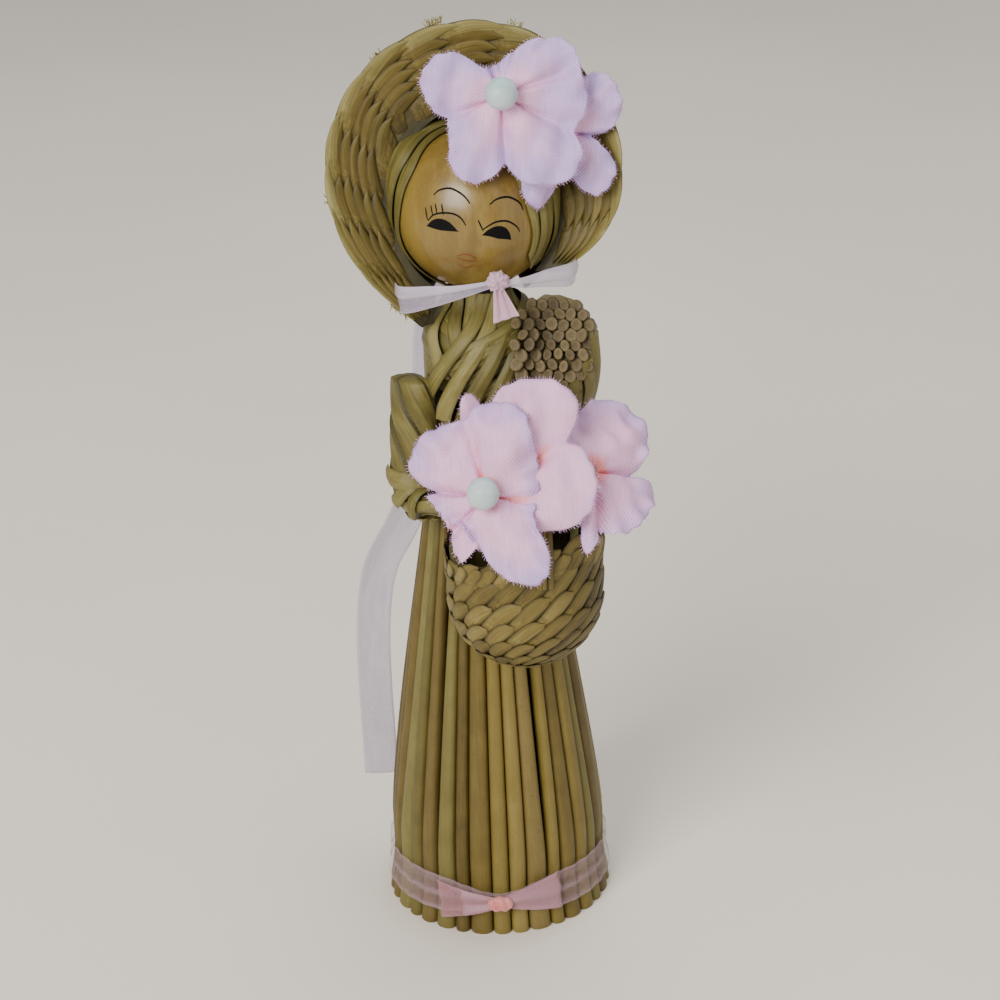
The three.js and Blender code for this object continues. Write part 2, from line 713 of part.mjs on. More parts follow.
function addHatBlooms() {
  const front = bloomGroup(hatBloom, hat);
  piece('hat_blossom_front', blossom(hatBloom), silk, front);
  const reach = -hatBloom.place[1] - brimSetForward - brimThickness / 2 - seatGap;
  piece('hat_pip', pip([vector(0, 0, 0), vector(0, 0, -reach)]), pearl, front);
  piece('hat_blossom_rear', blossom(hatBloomRear), silk, bloomGroup(hatBloomRear, hat));
}

// Basket flowers stand on stems that reach down into the pouch
function addBasketBlooms() {
  const rim = new THREE.Group();
  rim.position.z = basketHeight;
  basket.add(rim);
  const inWidth = basketHalfWidth - basketWall;
  const inDepth = basketHalfDepth - basketWall;
  const foot = (group, x) => {
    group.updateMatrix();
    const back = group.matrix.clone().invert();
    const y = flowerStemRadius + seatGap - inDepth * Math.sqrt(1 - (x / inWidth) ** 2);
    return [vector(x, y, stemFootRise), vector(x, y, -stemFootDepth)].map((p) => p.applyMatrix4(back));
  };
  const front = bloomGroup(basketBloom, rim);
  piece('basket_blossom_front', blossom(basketBloom), silk, front);
  const straight = [vector(0, 0, 0), vector(0, 0, -stemStraight)];
  piece('basket_pip', pip([...straight, ...foot(front, stemFootFront)]), pearl, front);
  const side = bloomGroup(basketBloomSide, rim);
  piece('basket_blossom_side', blossom(basketBloomSide), silk, side);
  const tip = vector(0, 0, clothThickness + flowerStemRadius);
  const path = smoothPath([tip, vector(0, 0, -stemStraight), ...foot(side, stemFootSide)]);
  piece('basket_side_stem', stalk(path), wire, side);
}

addStems();
addCore();
addSash('bodice_under', -1, seatGap);
addSash('bodice_over', 1, sashThickness + 2 * seatGap);
addArm('right_arm', rightArmPath);
addArm('left_arm', leftArmPath);
addSheaf();
addBead();
addHair('hair_left', -1, hairLeftEnd);
addHair('hair_right', 1, hairRightEnd);
addCrown();
addBrim();
addChinRibbon();
addBackRibbon();
addHemRibbon();
addBasket();
addHandle();
addHatBlooms();
addBasketBlooms();

export default doll;
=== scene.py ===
import bpy
import numpy as np
from mathutils import Matrix, Vector


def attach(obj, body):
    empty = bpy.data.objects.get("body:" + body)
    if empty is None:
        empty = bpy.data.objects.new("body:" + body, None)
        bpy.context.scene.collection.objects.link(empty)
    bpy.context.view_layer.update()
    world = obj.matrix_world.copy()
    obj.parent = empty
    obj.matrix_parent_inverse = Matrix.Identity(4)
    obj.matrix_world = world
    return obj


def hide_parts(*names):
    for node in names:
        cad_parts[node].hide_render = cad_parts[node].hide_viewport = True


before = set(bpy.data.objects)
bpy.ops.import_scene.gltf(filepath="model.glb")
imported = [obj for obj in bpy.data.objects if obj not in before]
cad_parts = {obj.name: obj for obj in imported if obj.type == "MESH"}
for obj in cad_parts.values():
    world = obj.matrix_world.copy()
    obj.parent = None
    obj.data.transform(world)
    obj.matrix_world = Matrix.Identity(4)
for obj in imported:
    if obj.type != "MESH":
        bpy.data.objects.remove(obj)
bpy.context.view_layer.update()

mm = 0.001
twoPi = 2 * np.pi


# vectors scaled to length one
def unit(v):
    return v / np.maximum(np.linalg.norm(v, axis=-1, keepdims=True), 1e-12)


def mix(a, b, t):
    return a + (b - a) * t


# 0 below low, 1 above high, and a smooth climb between
def ease(low, high, t):
    s = np.clip((t - low) / (high - low), 0, 1)
    return s * s * (3 - 2 * s)


# a hump of height 1 at the middle
def bell(t, middle, spread):
    return np.exp(-((t - middle) / spread) ** 2)


# a sine or cosine pushed towards a square wave by a power below 1
def boxy(c, power):
    return np.sign(c) * np.abs(c) ** power


# length run along a path, from 0 at its first point
def runAlong(path):
    steps = np.linalg.norm(np.diff(path, axis=-2), axis=-1)
    return np.concatenate([np.zeros_like(steps[..., :1]), np.cumsum(steps, axis=-1)], -1)


# smooth curve through points (centripetal Catmull-Rom), given back at even steps of length
def curveThrough(points, count):
    p = np.asarray(points, float)
    p = np.vstack([2 * p[0] - p[1], p, 2 * p[-1] - p[-2]])
    knots = np.concatenate([[0], np.cumsum(np.linalg.norm(np.diff(p, axis=0), axis=1) ** 0.5)])
    fine = []
    for k in range(len(p) - 3):
        a, b, c, d = knots[k:k + 4]
        t = np.linspace(b, c, 60)[:, None]
        first = mix(p[k], p[k + 1], (t - a) / (b - a))
        second = mix(p[k + 1], p[k + 2], (t - b) / (c - b))
        third = mix(p[k + 2], p[k + 3], (t - c) / (d - c))
        early, late = mix(first, second, (t - a) / (c - a)), mix(second, third, (t - b) / (d - b))
        fine.append(mix(early, late, (t - b) / (c - b)))
    fine = np.concatenate(fine)
    run = runAlong(fine)
    even = np.linspace(0, run[-1], count)
    return np.stack([np.interp(even, run, column) for column in fine.T], -1)


# side and face directions along a path whose face looks towards reference
def alongPath(path, reference):
    tangent = unit(np.gradient(path, axis=-2))
    side = unit(np.cross(tangent, reference))
    return side, np.cross(side, tangent)


# points beside a path, a row for each of its points: a to the side and b outwards
def besidePath(path, side, out, a, b):
    return path[..., None, :] + side[..., None, :] * a[..., None] + out[..., None, :] * b[..., None]


def points(x, y, z):
    return np.stack(np.broadcast_arrays(x, y, z), -1)


# points round the upright axis: reach from it, bearing from the front, height z
def roundAxis(reach, bearing, z):
    return points(reach * np.sin(bearing), -reach * np.cos(bearing), z)


# section of a flat strip: b runs from edge to edge over its face and back below, layer is 1 above and -1
# below
def lensSection(cols):
    b = np.linspace(-1, 1, cols)
    b = np.concatenate([b, b[-2:0:-1]])
    return b, np.where(np.arange(len(b)) < cols, 1.0, -1.0), (np.append(b, b[0]) + 1) / 2


# a strip with a lens section: half the width times b to the side, and half the thickness times 1 - b^4 up and
# down, bowed outwards by crown times 1 - b^2
def lensStrip(path, side, out, halfWidth, thickness, crown=0.0, cols=5):
    b, layer, across = lensSection(cols)
    rise = thickness / 2 * layer * (1 - b ** 4) + crown * (1 - b ** 2)
    return besidePath(path, side, out, np.multiply.outer(halfWidth, b), rise), across


# angles of a ball with small holes at its poles: from pole to pole down the rows, and once round
def ballAngles(hole, rows, cols):
    return np.linspace(hole, 1 - hole, rows)[:, None] * np.pi, np.linspace(0, twoPi, cols + 1)[None, :-1]


# fibres as spikes with three sides: a line of three points each, with two directions across it
def spikes(line, aside, up, radius, thin):
    ring = np.array([[1, 0], [-0.5, 0.87], [-0.5, -0.87]]) * radius
    return line[:, :, None] + (aside * ring[:, :1] + up * ring[:, 1:]) * np.array(thin)[:, None, None]


# grids of points gathered into one mesh, with a grain coordinate and a tone at every point
class Stock:
    def __init__(self):
        self.points, self.faces, self.uvs, self.tones, self.count = [], [], [], [], 0

    # ring joins the last column to the first, loop the last row to the first, capped fans over both end rows
    def add(self, grid, across, along, ring=False, loop=False, capped=False, tone=0.5, flip=False):
        rows, cols = grid.shape[-3:-1]
        batch = grid.reshape(-1, rows, cols, 3)
        count = len(batch)
        across, along = np.asarray(across, float), np.asarray(along, float)
        i, j = np.meshgrid(np.arange(rows - (not loop)), np.arange(cols - (not ring)), indexing="ij")
        i, j = i.ravel(), j.ravel()
        row, col = np.stack([i, i + 1, i + 1, i], -1), np.stack([j, j, j + 1, j + 1], -1)
        faces = [(row % rows) * cols + col % cols]
        uvs = [np.stack([across[col], along[row]], -1)]
        points = batch.reshape(count, -1, 3)
        tones = np.asarray(tone, float)
        tones = tones.reshape(tones.shape + (1,) * (3 - tones.ndim))
        tones = np.broadcast_to(tones, (count, rows, cols)).reshape(count, -1)
        if capped:
            j = np.arange(cols)
            nextJ, last = (j + 1) % cols, (rows - 1) * cols
            middle = np.full(cols, rows * cols)
            faces += [np.stack([j, nextJ, middle], -1), np.stack([last + nextJ, last + j, middle + 1], -1)]
            for end in (0, -1):
                sides = np.stack([across[:cols], across[nextJ], np.full(cols, 0.5)], 1)
                uvs.append(np.stack([sides, np.full_like(sides, along[end])], -1))
            points = np.concatenate([points, batch[:, [0, -1]].mean(2)], 1)
            tones = np.concatenate([tones, tones[:, :1], tones[:, -1:]], 1)
        if ring and (capped or loop):  # a closed surface is turned so that its faces look outwards
            a, b, c, d = (points[0][faces[0][:, k]] for k in range(4))
            flip = np.sum(a * np.cross(b, c)) + np.sum(a * np.cross(c, d)) < 0
        size = points.shape[1]
        shift = self.count + size * np.arange(count)
        for corner, place in zip(faces, uvs):
            if flip:
                corner, place = corner[:, ::-1], place[:, ::-1]
            self.faces.append((shift[:, None, None] + corner).reshape(-1, corner.shape[1]))
            self.uvs.append(np.tile(place, (count, 1, 1)).reshape(-1, 2))
        self.points.append(points.reshape(-1, 3))
        self.tones.append(tones.ravel())
        self.count += count * size

    # a closed tube or strip, or a batch of them
    def tube(self, grid, across, along, tone=0.5):
        self.add(grid, across, along, ring=True, capped=True, tone=tone)

    # grain coordinates given for every point instead of by row and column
    def regrain(self, uv):
        uv = np.concatenate([np.reshape(uv, (-1, 2)), np.zeros((2, 2))])
        self.uvs = [uv[corner.ravel()] for corner in self.faces]

    def mesh(self, name):
        made = bpy.data.meshes.new(name)
        made.vertices.add(self.count)
        made.vertices.foreach_set("co", (np.concatenate(self.points) * mm).ravel())
        totals = np.concatenate([np.full(len(f), f.shape[1]) for f in self.faces])
        loops = np.concatenate([f.ravel() for f in self.faces])
        made.loops.add(len(loops))
        made.loops.foreach_set("vertex_index", loops)
        made.polygons.add(len(totals))
        made.polygons.foreach_set("loop_start", np.cumsum(totals) - totals)
        made.polygons.foreach_set("use_smooth", np.ones(len(totals), bool))
        made.uv_layers.new(name="grain").data.foreach_set("uv", np.concatenate(self.uvs).ravel())
        made.attributes.new("tone", "FLOAT", "POINT").data.foreach_set("value", np.concatenate(self.tones))
        made.update(calc_edges=True)
        made.validate()
        return made


def newObject(name, data):
    made = bpy.data.objects.new(name, data)
    bpy.context.scene.collection.objects.link(made)
    return made


# cloth is the thickness in mm of a piece that is one sheet
def makePiece(name, stock, material, body, nodes=(), cloth=0.0, smoothBelow=55):
    mesh = stock.mesh(name)
    mesh.materials.append(material)
    mesh.set_sharp_from_angle(angle=np.radians(smoothBelow))
    piece = newObject(name, mesh)
    if cloth:
        layer = piece.modifiers.new("cloth", "SOLIDIFY")
        layer.thickness = cloth * mm
        layer.offset = 0
    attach(piece, body)
    if nodes:
        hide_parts(*nodes)
    print("made", name, len(mesh.polygons), "faces")
    return piece


# colour given as screen levels, turned to linear light
def srgb(levels):
    c = np.array(levels) / 255
    return tuple(np.where(c <= 0.04045, c / 12.92, ((c + 0.055) / 1.055) ** 2.4))


def newMaterial(name):
    material = bpy.data.materials.new(name)
    material.use_nodes = True
    return material, material.node_tree, material.node_tree.nodes["Principled BSDF"]


# inputs by name or number: a socket is linked and anything else is set
def plug(tree, made, inputs):
    for key, value in inputs.items():
        if isinstance(value, bpy.types.NodeSocket):
            tree.links.new(value, made.inputs[key])
        else:
            made.inputs[key].default_value = value


def node(tree, kind, inputs=None, **settings):
    made = tree.nodes.new("ShaderNode" + kind)
    for key, value in settings.items():
        setattr(made, key, value)
    plug(tree, made, inputs or {})
    return made


def calc(tree, operation, *values):
    return node(tree, "Math", dict(enumerate(values)), operation=operation).outputs[0]


# stops are places with a colour, or with one level of grey
def ramp(tree, factor, stops):
    made = node(tree, "ValToRGB", {0: factor})
    elements = made.color_ramp.elements
    for place, _ in stops[1:-1]:
        elements.new(place)
    for element, (place, colour) in zip(elements, stops):
        element.position = place
        element.color = (*colour, 1) if np.ndim(colour) else (colour, colour, colour, 1)
    return made.outputs[0]


def blendColour(tree, factor, a, b, mode="MIX"):
    return node(tree, "Mix", {0: factor, 6: a, 7: b}, data_type="RGBA", blend_type=mode).outputs[2]


# grain coordinates of a piece, across and along it, and its tone
def grainOf(tree):
    uv = node(tree, "UVMap", uv_map="grain").outputs[0]
    grain = node(tree, "SeparateXYZ", {0: uv}).outputs
    return grain[0], grain[1], node(tree, "Attribute", attribute_name="tone").outputs["Fac"]


def objectPlace(tree):
    return node(tree, "TexCoord").outputs["Object"]


# noise at three values, each times its own scale
def noise(tree, values, scales, detail=3.0):
    scaled = [calc(tree, "MULTIPLY", *pair) for pair in zip(values, scales)]
    place = node(tree, "CombineXYZ", dict(enumerate(scaled))).outputs[0]
    inputs = {"Vector": place, "Scale": 1.0, "Detail": detail, "Roughness": 0.6}
    return node(tree, "TexNoise", inputs).outputs[0]


def relief(tree, height, strength, depth):
    return node(tree, "Bump", {"Strength": strength, "Distance": depth * mm, "Height": height}).outputs[0]


# plant fibre: fine streaks along the strip, slow blotches, dark specks, and painted shade towards the edges
# where strips meet; the edge argument sets how dark that painted shade is
def fibreFinish(name, colours, fibres=26, speckle=0.3, edge=0.65, rough=0.5, streaks=0.55, blotches=0.4,
                tones=0.36, seamShadeFalloff=7.0):
    material, tree, skin = newMaterial(name)
    dark, middle, light, pale = (srgb(c) for c in colours)
    darker = lambda share: (*(share * np.array(dark)), 1)
    grain = grainOf(tree)
    across, _, tone = grain
    streak = noise(tree, grain, (fibres, 0.16, 37.0))
    blotch = noise(tree, grain, (1.3, 0.2, 61.0))
    specks = noise(tree, grain, (11.0, 2.4, 23.0), 1.0)
    share = calc(tree, "MULTIPLY_ADD", streak, streaks, 0.5 * (1 - streaks - blotches - tones))
    share = calc(tree, "MULTIPLY_ADD", blotch, blotches, share)
    share = calc(tree, "MULTIPLY_ADD", tone, tones, share)
    colour = ramp(tree, share, [(0.24, dark), (0.44, middle), (0.6, light), (0.78, pale)])
    spot = ramp(tree, specks, [(0.66, 0.0), (0.72, speckle)])
    colour = blendColour(tree, spot, colour, darker(0.35))
    # painted shade: the colour darkens towards both edges of a strip, where it meets the next strip or passes
    # under it
    seamShadeAcross = calc(tree, "MULTIPLY_ADD", calc(tree, "FRACT", across), 2.0, -1.0)
    rim = calc(tree, "POWER", calc(tree, "ABSOLUTE", seamShadeAcross), seamShadeFalloff)
    colour = blendColour(tree, calc(tree, "MULTIPLY", rim, edge), colour, darker(0.4))
    gloss = calc(tree, "MULTIPLY_ADD", streak, 0.3, rough - 0.15)
    plug(tree, skin, {"Base Color": colour, "Roughness": gloss, "Normal": relief(tree, streak, 0.4, 0.15),
                      "Specular IOR Level": 0.35})
    return material


# woven petal: a checker of over and under threads, painted lighter on the threads as painted highlight and
# darker between them as painted shade, salmon at the base running out to pale lilac, and the tone that runs the
# hue also carries painted shade
def silkFinish(name, colours, pitch=0.5):
    material, tree, skin = newMaterial(name)
    salmon, blush, pale = (srgb(c) for c in colours)
    across, along, tone = grainOf(tree)
    wave = lambda value: calc(tree, "SINE", calc(tree, "MULTIPLY", value, twoPi / pitch))
    weave = calc(tree, "MULTIPLY_ADD", calc(tree, "MULTIPLY", wave(across), wave(along)), 0.5, 0.5)
    blotch = noise(tree, (across, along), (0.2, 0.2), 2.0)
    slub = noise(tree, (across, along, 3.0), (2.2, 0.3, 1.0), 2.0)
    share = calc(tree, "ADD", tone, calc(tree, "MULTIPLY_ADD", blotch, 0.5, -0.25))
    colour = ramp(tree, share, [(0.02, salmon), (0.3, blush), (0.62, blush), (0.95, pale)])
    # the weave checker lightens the colour on the threads as painted highlight and darkens it between them as
    # painted shade; slubs vary it too
    shade = calc(tree, "MULTIPLY_ADD", weave, 0.42, calc(tree, "MULTIPLY_ADD", slub, 0.24, 0.5))
    grey = node(tree, "CombineColor", {0: shade, 1: shade, 2: shade}).outputs[0]
    plug(tree, skin, {"Base Color": blendColour(tree, 1.0, colour, grey, "MULTIPLY"), "Roughness": 0.5,
                      "Normal": relief(tree, weave, 0.6, 0.1), "Subsurface Weight": 0.12,
                      "Subsurface Radius": (0.0008, 0.0005, 0.0006)})
    return material


# sheer ribbon: fine threads of a plain weave, closer and firmer where the tone is high
def organzaFinish(name, colour, deep, cover, pitch=0.34):
    material, tree, skin = newMaterial(name)
    grain = grainOf(tree)
    across, along, tone = grain
    ray = lambda value: calc(tree, "SINE", calc(tree, "MULTIPLY", value, np.pi / pitch))
    weave = calc(tree, "MAXIMUM", *(calc(tree, "ABSOLUTE", ray(value)) for value in (across, along)))
    cloud = noise(tree, grain, (0.6, 0.14, 9.0), 2.0)
    share = calc(tree, "MULTIPLY_ADD", cloud, 0.6, calc(tree, "MULTIPLY", tone, 0.4))
    veil = calc(tree, "MULTIPLY_ADD", weave, 0.3, cover - 0.24)
    veil = calc(tree, "MINIMUM", calc(tree, "MULTIPLY_ADD", tone, 0.3, veil), 1.0)
    plug(tree, skin, {"Base Color": ramp(tree, share, [(0.3, srgb(deep)), (0.62, srgb(colour))]), "Alpha": veil,
                      "Normal": relief(tree, weave, 0.35, 0.06), "Roughness": 0.45, "Sheen Weight": 0.3})
    return material


# turned wood under varnish: long rings round the bore, fine pores along it
def woodFinish(name, colours, coat):
    material, tree, skin = newMaterial(name)
    at = node(tree, "SeparateXYZ", {0: objectPlace(tree)}).outputs
    figure = noise(tree, at, (210.0, 210.0, 46.0), 4.0)
    pores = noise(tree, at, (2600.0, 2600.0, 260.0), 2.0)
    bands = calc(tree, "MULTIPLY_ADD", figure, 16.0, calc(tree, "MULTIPLY", at[0], 700.0))
    share = calc(tree, "MULTIPLY_ADD", pores, 0.35, calc(tree, "MULTIPLY", figure, 0.65))
    share = calc(tree, "MULTIPLY_ADD", calc(tree, "SINE", bands), 0.12, share)
    colour = ramp(tree, share, list(zip((0.28, 0.5, 0.72), (srgb(c) for c in colours))))
    plug(tree, skin, {"Base Color": colour, "Roughness": calc(tree, "MULTIPLY_ADD", pores, 0.25, 0.26),
                      "Coat Weight": coat, "Coat Roughness": 0.2})
    return material


# smooth bead or paint: one hue with slow clouds and a little change of gloss
def glossFinish(name, colour, deep, size=400.0, rough=0.3, coat=0.3, shine=0.5):
    material, tree, skin = newMaterial(name)
    cloud = node(tree, "TexNoise", {"Vector": objectPlace(tree), "Scale": size, "Detail": 3.0}).outputs[0]
    plug(tree, skin, {"Base Color": ramp(tree, cloud, [(0.3, srgb(deep)), (0.65, srgb(colour))]),
                      "Roughness": calc(tree, "MULTIPLY_ADD", cloud, 0.2, rough - 0.1), "Coat Weight": coat,
                      "Coat Roughness": 0.2, "Specular IOR Level": shine})
    return material


# plant colours run from dark to pale
rushHues = dict(gold=[(56, 44, 12), (93, 78, 30), (111, 96, 42), (130, 115, 62)],
                green=[(53, 47, 18), (91, 81, 35), (108, 99, 50), (128, 121, 70)],
                brown=[(51, 38, 12), (84, 69, 28), (102, 86, 42), (121, 106, 58)])
rushSkins = [fibreFinish("rush_" + hue, colours, speckle=0.22, streaks=0.2, blotches=0.26, tones=0.5)
             for hue, colours in rushHues.items()]
leafSkin = fibreFinish("leaf", [(49, 43, 15), (90, 82, 36), (113, 104, 53), (143, 134, 85)],
                       fibres=34, speckle=0.15, rough=0.46)
# plait and edging strips get strong painted shade along their edges, and the plait's spreads wider
plaitSkin = fibreFinish("plait", [(48, 39, 13), (90, 77, 32), (111, 97, 46), (137, 124, 75)],
                        fibres=18, speckle=0.12, edge=0.9, seamShadeFalloff=4.5)
edgeSkin = fibreFinish("plait_edge", [(66, 57, 24), (108, 97, 47), (130, 120, 68), (157, 148, 101)],
                       fibres=22, speckle=0.1, edge=0.9)
strawSkin = fibreFinish("straw_end", [(35, 26, 9), (69, 56, 26), (88, 73, 39), (110, 95, 58)],
                        fibres=12, edge=0.3)
liningSkin = fibreFinish("lining", [(45, 40, 17), (73, 66, 31), (94, 87, 47), (115, 108, 64)])
# near-black fibre, used as painted shade on the straw core
paintedShadeSkin = fibreFinish("shade", [(22, 16, 5), (38, 29, 10), (52, 41, 16), (66, 54, 24)])
silkSkin = silkFinish("silk", [(255, 150, 150), (246, 190, 228), (204, 174, 232)])
pinkVeil = organzaFinish("organza_pink", (186, 154, 170), (170, 134, 146), 0.1)
bowVeil = organzaFinish("organza_bow", (180, 134, 148), (170, 114, 124), 0.34)
bowKnot = organzaFinish("organza_bow_knot", (214, 142, 142), (204, 112, 104), 0.8)
knotVeil = organzaFinish("organza_knot", (216, 184, 204), (200, 146, 168), 0.62)
paleVeil = organzaFinish("organza_pale", (200, 190, 208), (176, 164, 190), 0.38)
beadSkin = woodFinish("bead_wood", [(104, 82, 30), (120, 97, 39), (132, 111, 51)], 0.28)
darkPaint = glossFinish("dark_paint", (10, 9, 9), (4, 4, 4), rough=0.65, coat=0.0, shine=0.12)
lipPaint = glossFinish("lip_paint", (112, 62, 26), (92, 46, 16), rough=0.5, coat=0.1)
pipSkin = glossFinish("pip", (188, 199, 202), (148, 182, 176), 260.0, 0.5, 0.12)
stalkSkin = glossFinish("flower_stem", (100, 112, 48), (70, 80, 32), 500.0, 0.5, 0.0)

# camera at the photograph's angle: focal length and frame are in picture points
view = dict(place=(0.002265, -0.400, 0.242), pitch=23.2, roll=-2.0, focal=2680, frame=1000, sensor=36.0)


def makeCamera():
    pitch, roll = np.radians(view["pitch"]), np.radians(view["roll"])
    right, ahead = Vector((1, 0, 0)), Vector((0, np.cos(pitch), -np.sin(pitch)))
    up = right.cross(ahead)
    axisX = right * np.cos(roll) + up * np.sin(roll)
    axisY = up * np.cos(roll) - right * np.sin(roll)
    lens = bpy.data.cameras.new("view")
    lens.sensor_width = view["sensor"]
    lens.lens = view["sensor"] * view["focal"] / view["frame"]
    lens.clip_start = 0.01
    camera = newObject("view", lens)
    turn = Matrix((axisX, axisY, -ahead)).transposed().to_4x4()
    camera.matrix_world = Matrix.Translation(view["place"]) @ turn
    bpy.context.scene.camera = camera


makeCamera()

# pale floor with the faintest clouding: half its side in metres, and its two colours
stage = dict(half=3.0, colours=[(224, 215, 199), (234, 226, 212)])


def makeStage():
    material, tree, skin = newMaterial("floor")
    cloud = node(tree, "TexNoise", {"Vector": objectPlace(tree), "Scale": 5.0, "Detail": 4.0}).outputs[0]
    stops = list(zip((0.3, 0.7), (srgb(c) for c in stage["colours"])))
    plug(tree, skin, {"Base Color": ramp(tree, cloud, stops), "Roughness": 0.7})
    mesh = bpy.data.meshes.new("floor")
    corners = [(stage["half"] * x, stage["half"] * y, 0) for x, y in ((-1, -1), (1, -1), (1, 1), (-1, 1))]
    mesh.from_pydata(corners, [], [(0, 1, 2, 3)])
    mesh.materials.append(material)
    floor = newObject("floor", mesh)


# soft studio light: place and size in metres, power in watts, all aimed at the middle of the doll
lamps = dict(
    key=dict(place=(-0.4, -0.72, 0.56), size=0.5, power=12.2, colour=(1.0, 0.97, 0.92)),
    fill=dict(place=(0.75, -0.5, 0.4), size=0.8, power=2.3, colour=(1.0, 0.96, 0.9)),
    top=dict(place=(0.1, 0.25, 0.85), size=0.7, power=5.2, colour=(0.96, 0.98, 1.0)))
studio = dict(aim=(0, 0, 0.07), sky=(0.95, 0.96, 1.0, 1), strength=0.3)


def makeLight():
    for name, lamp in lamps.items():
        data = bpy.data.lights.new(name, "AREA")
        data.size, data.energy, data.color = lamp["size"], lamp["power"], lamp["colour"]
        made = newObject(name, data)
        made.location = lamp["place"]
        toDoll = Vector(studio["aim"]) - Vector(lamp["place"])
        made.rotation_euler = toDoll.to_track_quat("-Z", "Y").to_euler()
    world = bpy.data.worlds.new("studio")
    world.use_nodes = True
    plug(world.node_tree, world.node_tree.nodes["Background"], {0: studio["sky"], 1: studio["strength"]})
    bpy.context.scene.world = world


makeStage()
makeLight()
print("stage and light ready")

# ribbon that hangs free from the back of the bonnet: the points are the route of its middle line
backRibbon = dict(width=5.8, thick=0.1, rows=120, cols=13, cup=0.5, cupLength=19, ripple=0.25, rippleLength=6.5,
                  path=[(-1.5, 12.9, 110.2), (-5.2, 13.6, 104), (-8, 13.4, 95), (-8.6, 13.2, 83.6),
                        (-10, 13.6, 71.6), (-14.4, 14.6, 60.6), (-18.4, 15.6, 52.6), (-20.2, 16, 41.6),
                        (-20.3, 16, 12.2)])


# a flat band carried along the route, cupped a little across and rippled along both edges
def makeBackRibbon():
    spec = backRibbon
    path = curveThrough(spec["path"], spec["rows"])
    side, out = alongPath(path, np.array([0.0, 1.0, 0.0]))
    run = runAlong(path)
    b = np.linspace(-1, 1, spec["cols"])
    reach = spec["width"] / 2 * b
    wave = spec["ripple"] * np.sin(run / spec["rippleLength"])[:, None] * b
    wave = wave + spec["cup"] * np.cos(run / spec["cupLength"])[:, None] * (b ** 2 - 0.4)
    stock = Stock()
    selvedge = 0.3 + 0.7 * np.abs(b) ** 12
    stock.add(besidePath(path, side, out, reach, wave), reach, run, tone=selvedge[None, None])
    piece = makePiece("ribbon_back", stock, paleVeil, "head", ["back_ribbon"], cloth=spec["thick"])


makeBackRibbon()

# skirt of rush stems: each stem keeps to its own wedge of the circle, and two gaps open between stems at the
# front
skirt = dict(count=34, sides=18, rows=30, hemRadius=19.0, waistRadius=8.4, height=84.0, top=88.0, fullness=0.6,
             depthHem=3.0, depthWaist=2.0, corner=0.82, spread=0.2, beat=2.4, nip=0.7, nipMiddle=6.675,
             nipReach=5.0, gap=0.06, gapsAt=(231, 297), gapWidth=0.75, gapFrom=(3, 26), gapTo=(66, 82),
             wander=0.16, wanderPitch=(11, 17), sunk=0.35, hueShares=[0.56, 0.26, 0.18], seed=4)


# outline of the skirt: a cone with a little fullness, nipped where the ribbon is tied
def skirtRadius(z):
    t = np.minimum(z / skirt["height"], 1)
    share = 1 - t + skirt["fullness"] * t * (1 - t) ** 2
    nip = skirt["nip"] * bell(z, skirt["nipMiddle"], skirt["nipReach"])
    return mix(skirt["waistRadius"], skirt["hemRadius"], share) - nip


# stem k: a squarish oval, depth by width, carried up the skirt's outline between its two edges
def makeStems():
    spec = skirt
    draw = np.random.default_rng(spec["seed"])
    z = np.concatenate([[0.0, 0.25], np.linspace(1.2, spec["top"], spec["rows"] - 2)])
    shares = 1 + spec["spread"] * np.sin(spec["beat"] * np.arange(spec["count"]))
    edges = np.concatenate([[0], np.cumsum(shares)]) * twoPi / shares.sum()
    depth = mix(spec["depthHem"], spec["depthWaist"], np.minimum(z / spec["height"], 1))
    radius = skirtRadius(z) - depth / 2
    opening = ease(*spec["gapFrom"], z) * (1 - ease(*spec["gapTo"], z))
    snug, apart = spec["gap"] / radius / 2, (spec["gap"] + spec["gapWidth"] * opening) / radius / 2
    nearGap = [int(np.argmin(np.abs(edges[1:-1] - np.radians(g)))) + 1 for g in spec["gapsAt"]]
    a = np.arange(spec["sides"]) / spec["sides"] * twoPi
    trim = 1 - 0.1 * (z[:, None] < 0.1)  # the cut foot is a little smaller
    ovalOut = depth[:, None] / 2 * boxy(np.cos(a), spec["corner"]) * trim
    ovalSide = boxy(np.sin(a), spec["corner"]) * trim
    hues = draw.choice(3, spec["count"], p=spec["hueShares"])
    for k in range(spec["count"]):
        low = edges[k] + (apart if k in nearGap else snug)
        high = edges[k + 1] - (apart if k + 1 in nearGap else snug)
        phase, pitch = draw.uniform(0, twoPi), draw.uniform(*spec["wanderPitch"])
        sway = spec["wander"] * np.sin(z / pitch + phase) * ease(2, 14, z)
        inset = draw.uniform(0, spec["sunk"]) * ease(8, 40, z)
        middle, half = ((low + high) / 2)[:, None], ((high - low) / 2 * radius)[:, None]
        outward, sideways = ovalOut + (radius - inset + sway)[:, None], half * ovalSide
        x = outward * np.cos(middle) - sideways * np.sin(middle)
        y = outward * np.sin(middle) + sideways * np.cos(middle)
        stock = Stock()
        around = 0.5 + 0.42 * np.sin(np.append(a, twoPi) / 2 + 0.3)
        stock.tube(points(x, y, z[:, None]), around, z, draw.uniform(0.15, 0.85))
        number = f"{k + 1:02d}"
        makePiece("stem_" + number, stock, rushSkins[hues[k]], "figure", ["rush_stem_" + number])


makeStems()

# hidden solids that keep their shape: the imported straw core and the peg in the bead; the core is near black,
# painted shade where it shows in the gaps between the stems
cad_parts["core_bundle"].data.materials[0] = paintedShadeSkin
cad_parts["neck_peg"].data.materials[0] = beadSkin

# binding at the waist: windings of split rush, pulled tight
waistTie = dict(radius=9.2, middle=86.0, halfHeight=1.65, halfDepth=0.42, windings=4, ridge=0.16,
                rows=120, cols=36)


